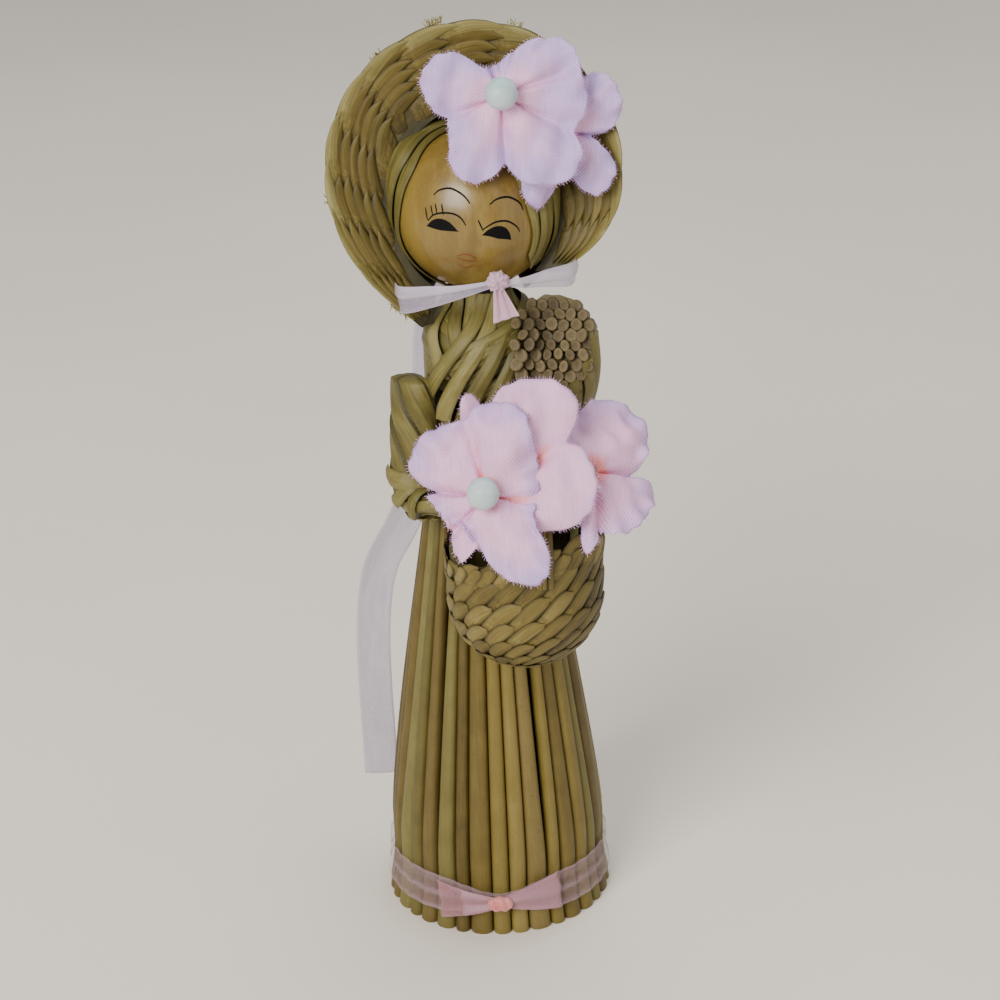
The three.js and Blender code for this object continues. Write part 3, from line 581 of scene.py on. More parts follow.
# an upright oval carried round the waist, ridged by a helix so that one winding runs into the next
def makeWaistTie():
    spec = waistTie
    turn = np.arange(spec["rows"])[:, None] / spec["rows"] * twoPi
    a = np.arange(spec["cols"])[None] / spec["cols"] * twoPi
    phase = spec["windings"] * np.pi * (np.sin(a) + 1) + turn
    reach = spec["radius"] + (spec["halfDepth"] + spec["ridge"] * np.abs(np.sin(phase / 2))) * np.cos(a)
    grid = roundAxis(reach, turn + np.pi / 2, spec["middle"] + spec["halfHeight"] * np.sin(a))
    stock = Stock()
    stock.add(grid, 0.5 + 0.4 * np.sin(np.linspace(0, twoPi, spec["cols"] + 1)),
              np.linspace(0, twoPi * spec["radius"], spec["rows"] + 1), ring=True, loop=True)
    makePiece("tie_waist", stock, leafSkin, "figure", ["waist_tie"])


makeWaistTie()

# sheer ribbon round the hem, drawn in to a knot at the front, and the flat bow on it; each end of the bow has
# its half height at the tip, its rise, and the share of its length that is two layers thick
hemRibbon = dict(middle=6.675, width=6.35, thick=0.1, neck=1.8, gather=0.34, stand=0.55, dip=0.12, columns=408,
                 rows=19, pleats=5.2, pleatReach=1.3, sheenLineAt=0.47, sheenLineWidth=0.07)
hemBow = dict(halfSpan=10.6, neck=1.5, stand=1.75, foldDepth=0.3, folds=4.4, rows=30, cols=25,
              ends=[(-1, 3.4, -0.5, 0.6), (1, 3.5, 0.5, 0.97)],
              knot=dict(size=(2.1, 0.8, 1.35), stand=0.4, corner=0.85, groove=0.3))


# a band that follows the skirt's outline; its width falls to the neck at the front, where it lies in pleats
def makeHemRibbon():
    spec = hemRibbon
    turn = np.linspace(-np.pi, np.pi, spec["columns"] + 1)[:-1, None]
    v = np.linspace(0, 1, spec["rows"])[None, ::-1]
    drawn = bell(turn, 0, spec["gather"])
    z = spec["middle"] + (v - 0.5) * mix(spec["width"], spec["neck"], drawn)
    pleat = np.sin(spec["pleats"] * np.pi * v + 0.5) * bell(turn, 0, spec["pleatReach"])
    slack = np.sin(9 * turn + 5 * v) * np.sin(np.pi * v) * 0.5 + np.sin(23 * turn - 3 * v) * 0.2
    dents = 0.7 * np.cos(skirt["count"] * turn) + slack + 1.6 * pleat
    grid = roundAxis(skirtRadius(z) + spec["stand"] + spec["dip"] * dents, turn, z)
    # tone: denser selvedges; painted light on the crests of the front pleats; and a thin painted sheen line
    # along the ribbon just below its middle, lighter and more opaque
    tone = 0.12 + 0.6 * np.abs(2 * v - 1) ** 10 + 0.32 * np.maximum(pleat, 0) ** 2
    tone = tone + 0.4 * bell(v, spec["sheenLineAt"], spec["sheenLineWidth"])
    stock = Stock()
    along = np.linspace(0, twoPi * skirt["hemRadius"], spec["columns"] + 1)
    stock.add(grid, spec["width"] * v[0], along, loop=True, tone=tone[None])
    makePiece("ribbon_hem", stock, pinkVeil, "figure", ["hem_ribbon"], cloth=spec["thick"])


# each end widens straight from the knot, with shallow folds that open out; the knot is a small pleated
# cushion
def makeHemBow():
    spec = hemBow
    middle = hemRibbon["middle"]
    radius = skirtRadius(middle) + spec["stand"]
    bow, knot = Stock(), Stock()
    t, b = np.linspace(0, 1, spec["rows"])[:, None], np.linspace(-1, 1, spec["cols"])[None]
    for side, half, rise, double in spec["ends"]:
        folds = np.sin(b * spec["folds"] + side)
        fold = folds * np.sin(np.pi * (0.2 + 0.6 * t)) - 0.5 * ease(double - 0.03, double, t)
        turn = side * spec["halfSpan"] / radius * (t * (1 - 0.03 * b * side) + 0.012 * np.sin(7 * b) * t ** 6)
        z = middle + mix(spec["neck"] / 2, half, t ** 0.9) * b + rise * t
        # tone: denser where the end is two layers and at the selvedges; higher on the crests of the folds as
        # painted light and lower in their hollows as painted shade
        tone = 0.7 - 0.6 * ease(double - 0.02, double + 0.02, t) + 0.3 * np.abs(b) ** 12 + 0.12 * folds
        bow.add(roundAxis(radius + spec["foldDepth"] * fold, turn, z), half * b[0], t[:, 0] * spec["halfSpan"],
                tone=np.clip(tone, 0, 1)[None], flip=side > 0)
    makePiece("bow_hem", bow, bowVeil, "figure", ["hem_bow"], cloth=hemRibbon["thick"])
    spec = spec["knot"]
    wide, deep, tall = spec["size"]
    c, a = ballAngles(0.06, 31, 40)
    square = lambda value: boxy(value, spec["corner"])
    swell = 1 + spec["groove"] * np.sin(9 * np.cos(c) + 2 * np.sin(a)) * np.sin(c)
    y = deep * square(np.sin(c)) * np.cos(a) * swell - radius - spec["stand"]
    z = middle + tall * square(np.sin(c)) * square(np.sin(a)) * mix(1, swell, 0.2)
    grid = points(wide * square(np.cos(c)), y, z)
    knot.tube(grid, np.linspace(0, 6, 41), np.linspace(0, 6, 31), 0.3)
    makePiece("bow_knot", knot, bowKnot, "figure", ["hem_bow"])


makeHemRibbon()
makeHemBow()

# torso under the sashes, and the two crossed sashes of leaf strips: each strip has its middle across the
# sash, its half width and its lift
torso = dict(chest=7.8, neck=3.4, shoulder=104.4, slope=2.2, waistTop=88.0, neckTop=107.0, dressed=2.9)
sash = dict(width=11.6, foot=0.3, peak=11.8, cross=20.0, rows=64, cols=11, length=32.0, sway=0.35, narrow=0.25,
            leaf=dict(thick=0.13, bow=0.22, crease=0.12),
            under=dict(side=-1, offset=0.3, seed=3,
                       strips=[(-4.0, 1.9, 0.3), (-0.2, 2.9, 0.7), (3.7, 2.2, 0.45)]),
            over=dict(side=1, offset=1.6, seed=8,
                      strips=[(-4.6, 1.25, 0.35), (-2.5, 1.5, 0.75), (0.0, 1.4, 0.4), (2.2, 1.45, 0.8),
                              (4.4, 1.4, 0.5)]))


# chest below, neck above, with sloping shoulders between
def torsoRadius(z):
    share = 0.5 * (1 - np.tanh((z - torso["shoulder"]) / torso["slope"]))
    return mix(torso["neck"], torso["chest"], share)


# point of a sash: u along it over the shoulder, aside across it, lift off the torso
def sashPoint(side, u, aside, lift):
    low = torso["waistTop"] + sash["foot"] + sash["width"] / 2
    top = torso["waistTop"] + sash["peak"]
    lineOf = lambda w: (np.radians(side * (w * (180 + 2 * sash["cross"]) - sash["cross"])),
                        mix(low, top, np.sin(np.pi * w)))
    turn, z = lineOf(u)
    (turnA, zA), (turnB, zB) = lineOf(u - 0.01), lineOf(u + 0.01)
    radius = torsoRadius(z)
    runX, runZ = radius * (turnB - turnA), zB - zA
    size = np.hypot(runX, runZ)
    height = z + aside * runX / size
    return roundAxis(torsoRadius(height) + lift, turn - aside * runZ / size / radius, height)


# relief of a leaf strip across its width: its thickness, a bow, a tilt that lays one edge over the next
# strip, and creases along it
def leafRelief(b, layer, phase, thick, bow, crease, tilt=0.16):
    folds = bow + crease * np.cos(2.5 * np.pi * b + phase)
    return thick * layer * (1 - b ** 6) + folds * (1 - b ** 2) + tilt * b


# strips side by side on the sash, each narrower at its ends
def makeSash(name, key, node):
    spec = sash[key]
    draw = np.random.default_rng(spec["seed"])
    u = np.linspace(0, 1, sash["rows"])[:, None]
    b, layer, across = lensSection(sash["cols"])
    stock = Stock()
    for middle, half, lift in spec["strips"]:
        sway = sash["sway"] * np.sin(u * draw.uniform(5, 9) + draw.uniform(0, 6))
        narrow = 1 - sash["narrow"] * (bell(u, 0, 0.1) + bell(u, 1, 0.1))
        rise = spec["offset"] + lift + leafRelief(b, layer, draw.uniform(0, 6), **sash["leaf"])
        grid = sashPoint(spec["side"], u, middle + sway + half * narrow * b, rise)
        stock.tube(grid, across, u[:, 0] * sash["length"], draw.uniform(0.3, 0.95))
    makePiece(name, stock, leafSkin, "figure", [node])


makeSash("sash_under", "under", "bodice_under")
makeSash("sash_over", "over", "bodice_over")

# leaf strips from the neck: turn in degrees at the neck and at the foot, half width, lift off the torso at
# the neck and at the foot, and height of the foot. The first five fan down over the bodice, the next eight
# fill the collar and the rest lie under the sashes, round the core
collar = dict(
    top=107.4, rows=40, cols=9, length=20.0, leaf=dict(thick=0.14, bow=0.25, crease=0.1), seed=9,
    strips=[(12, -58, 1.5, 1.3, 3.3, 88.6), (28, -36, 1.45, 1.1, 3.1, 88.4), (44, -15, 1.4, 1.3, 3.3, 88.6),
            (62, 5, 1.4, 1.1, 3.1, 88.4), (84, 27, 1.5, 1.0, 3.0, 88.6), (-14, -8, 1.3, 0.9, 1.2, 96),
            (-40, -14, 1.4, 1.15, 1.6, 95.5), (-68, -40, 1.5, 1.0, 2.0, 95), (-100, -82, 1.7, 0.7, 0.8, 95),
            (116, 100, 1.7, 0.75, 0.8, 95), (150, 142, 1.7, 0.5, 0.6, 95), (180, 184, 1.7, 0.85, 0.9, 95),
            (-138, -128, 1.7, 0.9, 0.9, 95)]
    + [(turn + 9, turn, 2.3, 0.1, 0.5 + 0.3 * (k % 2), 88.2) for k, turn in enumerate(range(-68, -300, -23))])


# each strip runs up the torso from foot to neck while it turns from one bearing to the other
def makeCollar():
    spec = collar
    draw = np.random.default_rng(spec["seed"])
    t = np.linspace(0, 1, spec["rows"])[:, None]
    b, layer, across = lensSection(spec["cols"])
    stock = Stock()
    for neck, foot, half, neckLift, footLift, low in spec["strips"]:
        z = mix(low, spec["top"] + draw.uniform(-0.5, 0.3), t)
        ground = torsoRadius(z) + mix(footLift, neckLift, ease(0.4, 0.95, t))
        reach = ground + leafRelief(b, layer, draw.uniform(0, 6), **spec["leaf"])
        bearing = np.radians(mix(foot, neck, t ** 1.3)) + half * mix(1.2, 0.75, t) * b / ground
        stock.tube(roundAxis(reach, bearing, z), across, t[:, 0] * spec["length"], draw.uniform(0.35, 0.95))
    makePiece("collar_leaves", stock, leafSkin, "figure", ["bodice_over"])


makeCollar()

# arms: a folded leaf sleeve that narrows to the wrist, given by points from the CAD route; each wrap round
# the elbow has its start and end along the arm and its half width
arms = dict(
    right=dict(path=[(-10.6, -5, 94.6), (-11, -6.3, 86.5), (-11.6, -8.8, 75.8), (-6.6, -15.6, 76.6),
                     (-0.6, -21.4, 78.4)], twist=-3.4, wraps=3, seed=2),
    left=dict(path=[(12, -2.4, 83.4), (13.6, -8, 79.8), (14.8, -15, 77.4), (9.6, -21.6, 78.6),
                    (4.6, -24.6, 79.4)], twist=3.4, wraps=2, seed=6),
    width=9.2, thickness=6.8, fullness=0.35, wrist=3.6, pleats=4, rows=110, cols=144, step=0.85, tieReach=10.1,
    wraps=[(0.43, 0.56, 1.7), (0.52, 0.62, 1.5), (0.6, 0.72, 1.35)], wrapRows=60, wrapThick=0.3)


# pushes points clear of the torso, its two sashes and the waist tie
def clearOfTorso(grid):
    x, y, z = np.moveaxis(grid, -1, 0)
    chest = torsoRadius(np.clip(z, torso["waistTop"], torso["neckTop"])) + torso["dressed"]
    keep = np.where(z < torso["waistTop"], arms["tieReach"], chest)
    push = np.where(z > skirt["height"], np.maximum(keep / np.hypot(x, y), 1), 1)
    return points(x * push, y * push, z)


# oval sections along the arm; a sawtooth round each oval makes leaf edges that overlap, and it winds down the
# sleeve. Leaf wraps run once round the elbow on the same ovals
def makeArm(name, key, node):
    spec = arms[key]
    rows, cols = arms["rows"], arms["cols"]
    draw = np.random.default_rng(spec["seed"])
    path = curveThrough(spec["path"], rows)
    side, out = alongPath(path, unit(path[rows // 2] * [1, 1, 0]))
    run, t = runAlong(path), np.linspace(0, 1, rows)[:, None]
    puff = np.maximum(np.sin(np.pi * np.minimum(arms["fullness"] + t, 1)), 0) ** 0.8
    width, thick = mix(arms["wrist"], arms["width"], puff), mix(arms["wrist"], arms["thickness"], puff)
    rounded = lambda gone, reach, least: np.sqrt(np.clip(1 - (1 - np.minimum(gone / reach, 1)) ** 2, least, 1))
    shut = (rounded(run, 0.8, 0.12) * rounded(run[-1] - run, 0.5, 0.3))[:, None]
    a = np.arange(cols) / cols * twoPi
    turn = a / twoPi * arms["pleats"] + spec["twist"] * t + 0.2 * np.sin(7 * t + 1)
    part = turn % 1
    step = arms["step"] * mix(0.5, 1, puff)
    bulge = step * (0.9 * part ** 0.6 - 0.75 - 0.14 * np.sin(3 * np.pi * part) - 0.7 * ease(0.93, 1, part))
    bulge = bulge + 0.16 * np.sin(run * 0.7)[:, None] * np.cos(2 * a)
    section = lambda lift: besidePath(path, side, out, (width / 2 + lift) * np.cos(a) * shut,
                                      (thick / 2 + lift) * np.sin(a) * shut)
    tone = draw.uniform(0.35, 0.85, arms["pleats"])[np.floor(turn).astype(int) % arms["pleats"]]
    # painted shade: each leaf is darker just under the edge of the leaf that lies over it, and on the face
    # where that edge turns down
    tone = tone - 0.6 * (part < 0.05) - 0.35 * ease(0.94, 1, part)
    stock, wraps = Stock(), Stock()
    stock.tube(clearOfTorso(section(bulge)), np.zeros(cols + 1), run, np.clip(tone, 0, 1)[None])
    stock.regrain(np.stack(np.broadcast_arrays(part, run[:, None]), -1))
    makePiece(name, stock, leafSkin, "figure", [node])
    s, lift = np.linspace(0, 1, arms["wrapRows"]), arms["wrapThick"]
    for low, high, half in arms["wraps"][:spec["wraps"]]:
        row = np.round(mix(low, high, s) * (rows - 1)).astype(int)
        col = np.round((0.1 + 0.95 * s) % 1 * cols).astype(int) % cols
        at = section(lift)[row, col]
        for _ in range(3):  # smoothed, as row and column are whole numbers
            at[1:-1] = (at[:-2] + 2 * at[1:-1] + at[2:]) / 4
        outward = unit(at - path[row])
        full = half * (0.5 + 0.5 * np.sin(np.pi * s) ** 0.4)
        grid, across = lensStrip(at, alongPath(at, outward)[0], outward, full, lift, lift, cols=7)
        wraps.tube(clearOfTorso(grid), across, runAlong(at), draw.uniform(0.4, 0.9))
    makePiece(name + "_wraps", wraps, leafSkin, "figure", [node])


makeArm("sleeve_right", "right", "right_arm")
makeArm("sleeve_left", "left", "left_arm")

# sheaf of cut straw held in the crook of the left arm: each straw is its own tube, its cut end to the front.
# The profile of a straw runs from its hidden end: distance behind the tip (or share of its length), share of
# its width, change of tone and grain; the sling is five leaf strips from the sheaf's outer side down to the
# sleeve below it
sheaf = dict(place=(11.2, -8.8, 100.2), facing=(-0.1, -0.92, 0.38), width=12.4, height=15.6, length=15.0,
             dome=1.6, across=1.82, jitter=0.2, longest=5.0, stub=1.3, seed=5, sides=10,
             shares=[1, 1, 1, 0.96, 0.82, 0.5, 0.2], behind=[0.35, 0.06, 0, 0.1, 0.16],
             shades=[0, 0, 0, -0.1, 0.25, 0.3, 0.1], grain=[0, 6, 12, 12.4, 12.6, 13, 13.4],
             slingHalf=1.75, slingThick=0.5, slingBow=0.45, slingRound=(8.5, -3, 0),
             sling=[[(14.6, -9.4, 94.6), (15.2, -8.6, 91.4), (14.2, -7.6, 87.4), (12.8, -6.6, 83.6)],
                    [(16.6, -8.6, 97.6), (16.9, -7.6, 92.2), (15.6, -6.6, 87.6), (13.4, -5.6, 83.2)],
                    [(17.7, -6.6, 101), (18.0, -6.2, 95), (16.9, -5.2, 89), (13.6, -4.2, 83)],
                    [(17.4, -3.8, 102), (17.6, -3.6, 95), (16.0, -3, 89), (12.8, -2.4, 83)],
                    [(15.8, -0.8, 102), (15.8, -0.6, 95), (14.4, -0.6, 89), (11.8, -0.8, 83)]])


# straws on a jittered honeycomb: oval sections along the sheaf's direction, with a dished pith at the cut end
def makeSheaf():
    spec = sheaf
    draw = np.random.default_rng(spec["seed"])
    origin, front = np.array(spec["place"]), unit(np.array(spec["facing"]))
    right = unit(np.cross([0.0, 0, 1], -front))
    up = np.cross(front, right)
    row, column = np.meshgrid(np.arange(-5, 6), np.arange(-5, 6), indexing="ij")
    x = (column + (row % 2) * 0.5) * spec["across"]
    y = row * spec["across"] * np.cos(np.pi / 6)
    reach = (2 * x / spec["width"]) ** 2 + (2 * y / spec["height"]) ** 2
    x, y, reach = (value[reach <= 1.02] for value in (x, y, reach))
    count = len(x)
    x = x + draw.uniform(-1, 1, count) * spec["jitter"]
    y = y + draw.uniform(-1, 1, count) * spec["jitter"]
    tip = draw.uniform(-0.7, 0.35, count) - spec["dome"] * reach
    lean = draw.normal(0, 0.02, (count, 2))
    place = lambda s: (origin + right * (x + lean[:, 0] * s)[:, None] + up * (y + lean[:, 1] * s)[:, None]
                       + front * (tip - s)[:, None])
    room = torso["dressed"] + spec["across"] / 2
    meets = lambda at: np.hypot(at[:, 0], at[:, 1]) < torsoRadius(at[:, 2]) + room
    # straws that would start inside the bodice stand out from it as stubs, and each stops where it meets the
    # bodice
    for _ in range(20):
        tip = tip + 0.25 * meets(place(spec["stub"]))
    length = np.full(count, spec["longest"])
    for s in np.linspace(spec["longest"], 0.5, 40):
        at = place(s)
        length = np.where(meets(at) & (at[:, 2] > waistTie["middle"]), s, length)
    kept = length >= 1.0
    back = [length, length * 0.5] + [np.full(count, behind) for behind in spec["behind"]]
    wide = spec["across"] / 2 * draw.uniform(1.08, 1.34, count)
    squash, roll = draw.uniform(0.7, 0.92, count), draw.normal(np.pi / 2, 0.45, count)
    a = np.arange(spec["sides"]) / spec["sides"] * twoPi
    ovalX = np.outer(np.cos(roll), np.cos(a)) - np.outer(np.sin(roll) * squash, np.sin(a))
    ovalY = np.outer(np.sin(roll), np.cos(a)) + np.outer(np.cos(roll) * squash, np.sin(a))
    oval = (ovalX[..., None] * right + ovalY[..., None] * up) * wide[:, None, None]
    grid = np.stack([place(s)[:, None] + oval * share for s, share in zip(back, spec["shares"])], 1)
    tone = draw.uniform(0.25, 0.8, count)[:, None] + np.array(spec["shades"])
    straws, wrap = Stock(), Stock()
    straws.tube(grid[kept], 0.5 + 0.4 * np.sin(np.append(a, twoPi)), spec["grain"], np.clip(tone, 0, 1)[kept])
    # the straws are held behind their cut ends by a leaf wound round them, an oval with shallow folds along
    # it
    fromBack = np.append([0, 0.12, 0.4, 0.8, 1.3], np.linspace(2, spec["length"] - 2.2, 9))[:, None, None]
    s = spec["length"] - fromBack
    a = (np.arange(120) / 120 * twoPi)[None, :, None]
    fold = 1.02 + 0.012 * np.sin(9 * a + 0.4 * s) + 0.01 * np.sin(17 * a - 0.3 * s)
    fold = fold * np.sqrt(np.clip(1 - np.maximum(1 - fromBack / 2, 0) ** 2, 0.02, 1))
    body = origin + (right * np.cos(a) * spec["width"] + up * np.sin(a) * spec["height"]) / 2 * fold - front * s
    wrap.tube(clearOfTorso(body), 0.5 + 0.4 * np.cos(2 * np.append(a, twoPi)), s.ravel(), 0.35)
    for line in spec["sling"]:
        path = curveThrough(line, 30)
        outward = unit((path - spec["slingRound"]) * [1, 1, 0])
        full = np.full(len(path), spec["slingHalf"])
        strip, across = lensStrip(path, alongPath(path, outward)[0], outward, full, spec["slingThick"],
                                  spec["slingBow"], cols=7)
        wrap.tube(strip, across, runAlong(path), draw.uniform(0.3, 0.75))
    makePiece("sheaf_wrap", wrap, leafSkin, "figure", ["straw_sheaf"])
    makePiece("sheaf_straws", straws, strawSkin, "figure", ["straw_sheaf"])


makeSheaf()

# head: the bonnet and hair are laid out in a frame at the bead's centre that leans back by the tilt
head = dict(height=119.17, tilt=10.0, bead=12.7, beadHeight=120.37, bore=2.3, rows=128, cols=72)


def fromHat(p):
    c, s = np.cos(np.radians(head["tilt"])), np.sin(np.radians(head["tilt"]))
    x, y, z = np.moveaxis(p, -1, 0)
    return points(x, y * c + z * s, z * c - y * s + head["height"])


# wooden bead: a ball with a straight bore, as one profile turned about the upright axis
def makeBead():
    openAt = np.arcsin(head["bore"] / head["bead"])
    c = np.linspace(openAt, np.pi - openAt, head["cols"])
    inBore = np.array([0.5, 0, -0.5])
    radius = np.append(head["bead"] * np.sin(c), head["bore"] + 0 * inBore)
    z = np.append(-head["bead"] * np.cos(c), head["bead"] * np.cos(openAt) * inBore)
    turn = np.arange(head["rows"])[:, None] / head["rows"] * twoPi
    stock = Stock()
    stock.add(roundAxis(radius, turn + np.pi / 2, z + head["beadHeight"]), np.linspace(0, 1, len(radius) + 1),
              np.linspace(0, 1, head["rows"] + 1), ring=True, loop=True)
    makePiece("bead_head", stock, beadSkin, "head", ["head_bead"])


makeBead()

# painted face: strokes as turn and rise in degrees on the bead, with half widths in mm at their middle
face = dict(
    brows=[[(-31.5, 22.7), (-27.9, 26.2), (-18.9, 28.3), (-10.6, 25.4), (-5.9, 21.7), (-3.3, 18.2)],
           [(10.8, 16.8), (15.7, 19.8), (23.7, 20.6), (29.1, 18.6), (34.1, 14.2), (35.5, 9.4)]],
    lids=[[(-34.4, 4.8), (-29.9, 9.3), (-21.3, 11.5), (-13.9, 10.8), (-9.6, 8.2), (-6.5, 3.3)],
          [(4.9, 0), (9.2, 2.6), (14.2, 4.6), (21.6, 4.4), (27.6, 0.9), (30.7, -2.6), (31.6, -5)]],
    lashes=[[(-37.1, 13.6), (-34.8, 5.1)], [(-32.7, 15.6), (-30.7, 9.2)], [(-29.2, 17), (-27.4, 10.9)],
            [(-24.2, 17.5), (-22.4, 10)], [(2, 7), (5.2, -1)]],
    eyes=[([(-35.7, 0.8), (-29.8, 5.8), (-25, 7.3), (-19, 5.7), (-11.6, -1.1)],
           [(-35.7, 0.8), (-29.1, -0.5), (-19.1, -1.1), (-11.6, -1.1)]),
          ([(4.3, -3.9), (9.8, 0), (15.6, 1.6), (19.9, 0.4), (23.2, -3.8), (25.2, -9.9)],
           [(4.3, -3.9), (9.6, -5.4), (16.8, -7.8), (25.2, -9.9)])],
    lips=[[(-15.2, -21.1), (-11.6, -22.8), (-5.5, -24.1), (1, -24.3)],
          [(-13.8, -20), (-9.5, -18.3), (-4.4, -19.2), (-0.1, -22.4)],
          [(-14.6, -27.3), (-9.4, -30.6), (-2.6, -28.1)]],
    widths=dict(brows=0.16, lids=0.15, lashes=0.12, lips=0.17), lift=0.02, thick=0.06, least=0.06,
    rows=40)


# smooth line on the bead through turns and rises
def onBead(angles):
    turn, rise = np.radians(np.asarray(angles, float)).T
    return curveThrough(roundAxis(np.cos(rise), turn, np.sin(rise)) * head["bead"], face["rows"])


# a brush stroke: a thin lens strip on the ball, full in the middle and drawn out at both ends
def makeFace():
    dark, lip = Stock(), Stock()

    def paint(stock, path, half):
        ball = unit(path)
        path = ball * (head["bead"] + face["lift"])
        grid, across = lensStrip(path, alongPath(path, ball)[0], ball, half, face["thick"], cols=7)
        stock.tube(grid + [0, 0, head["beadHeight"]], across, runAlong(path))

    full = 0.25 + 0.75 * np.sin(np.linspace(0.06, 0.94, face["rows"]) * np.pi) ** 0.6
    for kind, half in face["widths"].items():
        for stroke in face[kind]:
            paint(lip if kind == "lips" else dark, onBead(stroke), half * full)
    for top, bottom in face["eyes"]:
        upper, lower = onBead(top), onBead(bottom)
        paint(dark, (upper + lower) / 2, np.maximum(np.linalg.norm(upper - lower, axis=1) / 2, face["least"]))
    makePiece("face_dark", dark, darkPaint, "head")
    makePiece("face_lips", lip, lipPaint, "head")


makeFace()

# hair: flat leaf strips parted on the forehead, laid round the bead on each side; the edge next to the face
# is given as sweep from the top and opening from the way the hat faces, both in degrees
hair = dict(rows=70, cols=9, half=4.7, pitch=8.2, radius=13.05, strips=5, length=28.0, thick=0.24, bow=0.14,
            crease=0.06, step=0.22, seed=12,
            puff=dict(left=2.9, right=1.5), puffAt=46, puffReach=32,
            edges=dict(left=[(7, 76), (31, 71), (54, 60), (72, 60), (92, 63), (113, 72), (140, 80), (158, 82)],
                       right=[(7, 41), (39, 39), (70, 36), (94, 39), (120, 48), (136, 54)]))


# each strip follows the edge at its own distance, a lens in section, and the outer ones stand higher at the
# top
def makeHair():
    spec = hair
    draw = np.random.default_rng(spec["seed"])
    b, layer, across = lensSection(spec["cols"])
    u = np.linspace(0, 1, spec["rows"])[:, None]
    skin = spec["thick"] / 2 * layer * (1 - b ** 4)
    skin = skin + (spec["bow"] + spec["crease"] * np.cos(3 * np.pi * b)) * (1 - b ** 2)
    lift = np.array([0, 0, head["beadHeight"] - head["height"]])
    for key, sign in (("left", -1), ("right", 1)):
        stock = Stock()
        line = curveThrough(spec["edges"][key], spec["rows"])
        for k in range(spec["strips"]):
            sweep = line[:, :1] - u * draw.uniform(0, 6) + draw.uniform(-2, 2) + 2.5 * b
            opening = line[:, 1:] + spec["half"] * (1 + 1.06 * b) + spec["pitch"] * k
            opening = np.radians(opening + 0.9 * np.sin(u * 7 + draw.uniform(0, 6)))
            puff = spec["puff"][key] * ease(0, 3.2, k + 0.5 + 0.5 * b)
            stand = puff * bell(sweep, spec["puffAt"], spec["puffReach"]) + spec["step"] * (k % 2)
            out = spec["radius"] + stand + skin
            turn = sign * np.radians(sweep)
            way = points(np.sin(opening) * np.sin(turn), -np.cos(opening), np.sin(opening) * np.cos(turn))
            grid = fromHat(way * out[..., None]) + lift
            stock.tube(grid, across, u[:, 0] * spec["length"], draw.uniform(0.3, 0.85))
        makePiece("hair_strips_" + key, stock, leafSkin, "head", ["hair_" + key])


makeHair()

# plaited work: each strip as it shows between two crossings; c runs round its section, over the face and back
plait = dict(rows=13, c=np.array([-1, -0.55, 0, 0.55, 1, 0.5, 0, -0.5]), over=5, thick=0.32, crown=0.16,
             lean=0.2, dip=0.4, roll=0.18, length=7.0)


# place(a, b, lift) is the plaited surface: a runs along the plait in mm, b counts strips across, lift is mm
# off it; the pointed end of a strip lies on the ones beyond it and its other end dips under the ones before
def layStrips(stock, place, a, b, length, half, tilt, tone, lift=0.0, point=1.7):
    a, b, length, half, tilt, tone, lift = (np.broadcast_to(np.asarray(x, float), np.shape(a))[:, None, None]
                                            for x in (a, b, length, half, tilt, tone, lift))
    spec = plait
    s, c = np.linspace(-1, 1, spec["rows"])[None, :, None], spec["c"]
    layer = np.where(np.arange(len(c)) < spec["over"], 1.0, -1.0)
    run, under = length / 2 * s, np.maximum(-s, 0) ** 2
    taper = np.where(s > 0, np.maximum(1 - np.abs(s) ** point, 0.04), 1 - 0.7 * s ** 2)
    aside = half * taper * c + 0.12 * np.sin(np.pi * s) + tilt * run
    rise = lift + spec["thick"] / 2 * layer * (1 - c ** 4) + spec["crown"] * (1 - c ** 2) * taper ** 0.5
    rise = rise + spec["lean"] * s - spec["dip"] * under + spec["roll"] * c * taper
    # the end that dips under the strips before is painted darker, as painted shade
    stock.tube(place(a + run + 0 * c, b + aside, rise), np.append((c + 1) / 2, 0),
               np.linspace(0, spec["length"], spec["rows"]), np.clip(tone - 0.3 * under, 0, 1))


# bonnet: a brim that flares round the face and droops at its left end, and a dome behind the head; frays have
# their place in degrees from the top, number of fibres and length
bonnet = dict(halfWidth=13.8, halfHeight=15.6, depth=13.8, rise=2.4, wall=1.5, nape=-10.5, front=-1.5,
              brimRadius=22.8, brimRise=7.2, forward=2.6, flare=4.0, leftEnd=150.0, rightEnd=136.0, droop=5.2,
              droopFrom=105.0, endTaper=0.45, endShare=0.22, inset=0.18, insetAt=-50, insetReach=28, seed=21,
              strips=dict(middle=19.5, across=6.2, pitch=6.7, length=10.4, half=0.76, tilt=0.05, stand=0.42,
                          crowd=4),
              edging=dict(at=5.55, fold=5.95, length=(11.0, 12.0), half=0.86, tilt=0.03, lift=0.2),
              frays=[(-13, 26, 1.0), (-38, 8, 0.8), (18, 10, 0.7), (-100, 6, 0.6), (62, 12, 0.8),
                     (-141, 20, 0.9)], frayRadius=0.1,
              crown=dict(rows=12, across=6.2, length=7.8, half=0.62, below=0.34, lining=0.9))


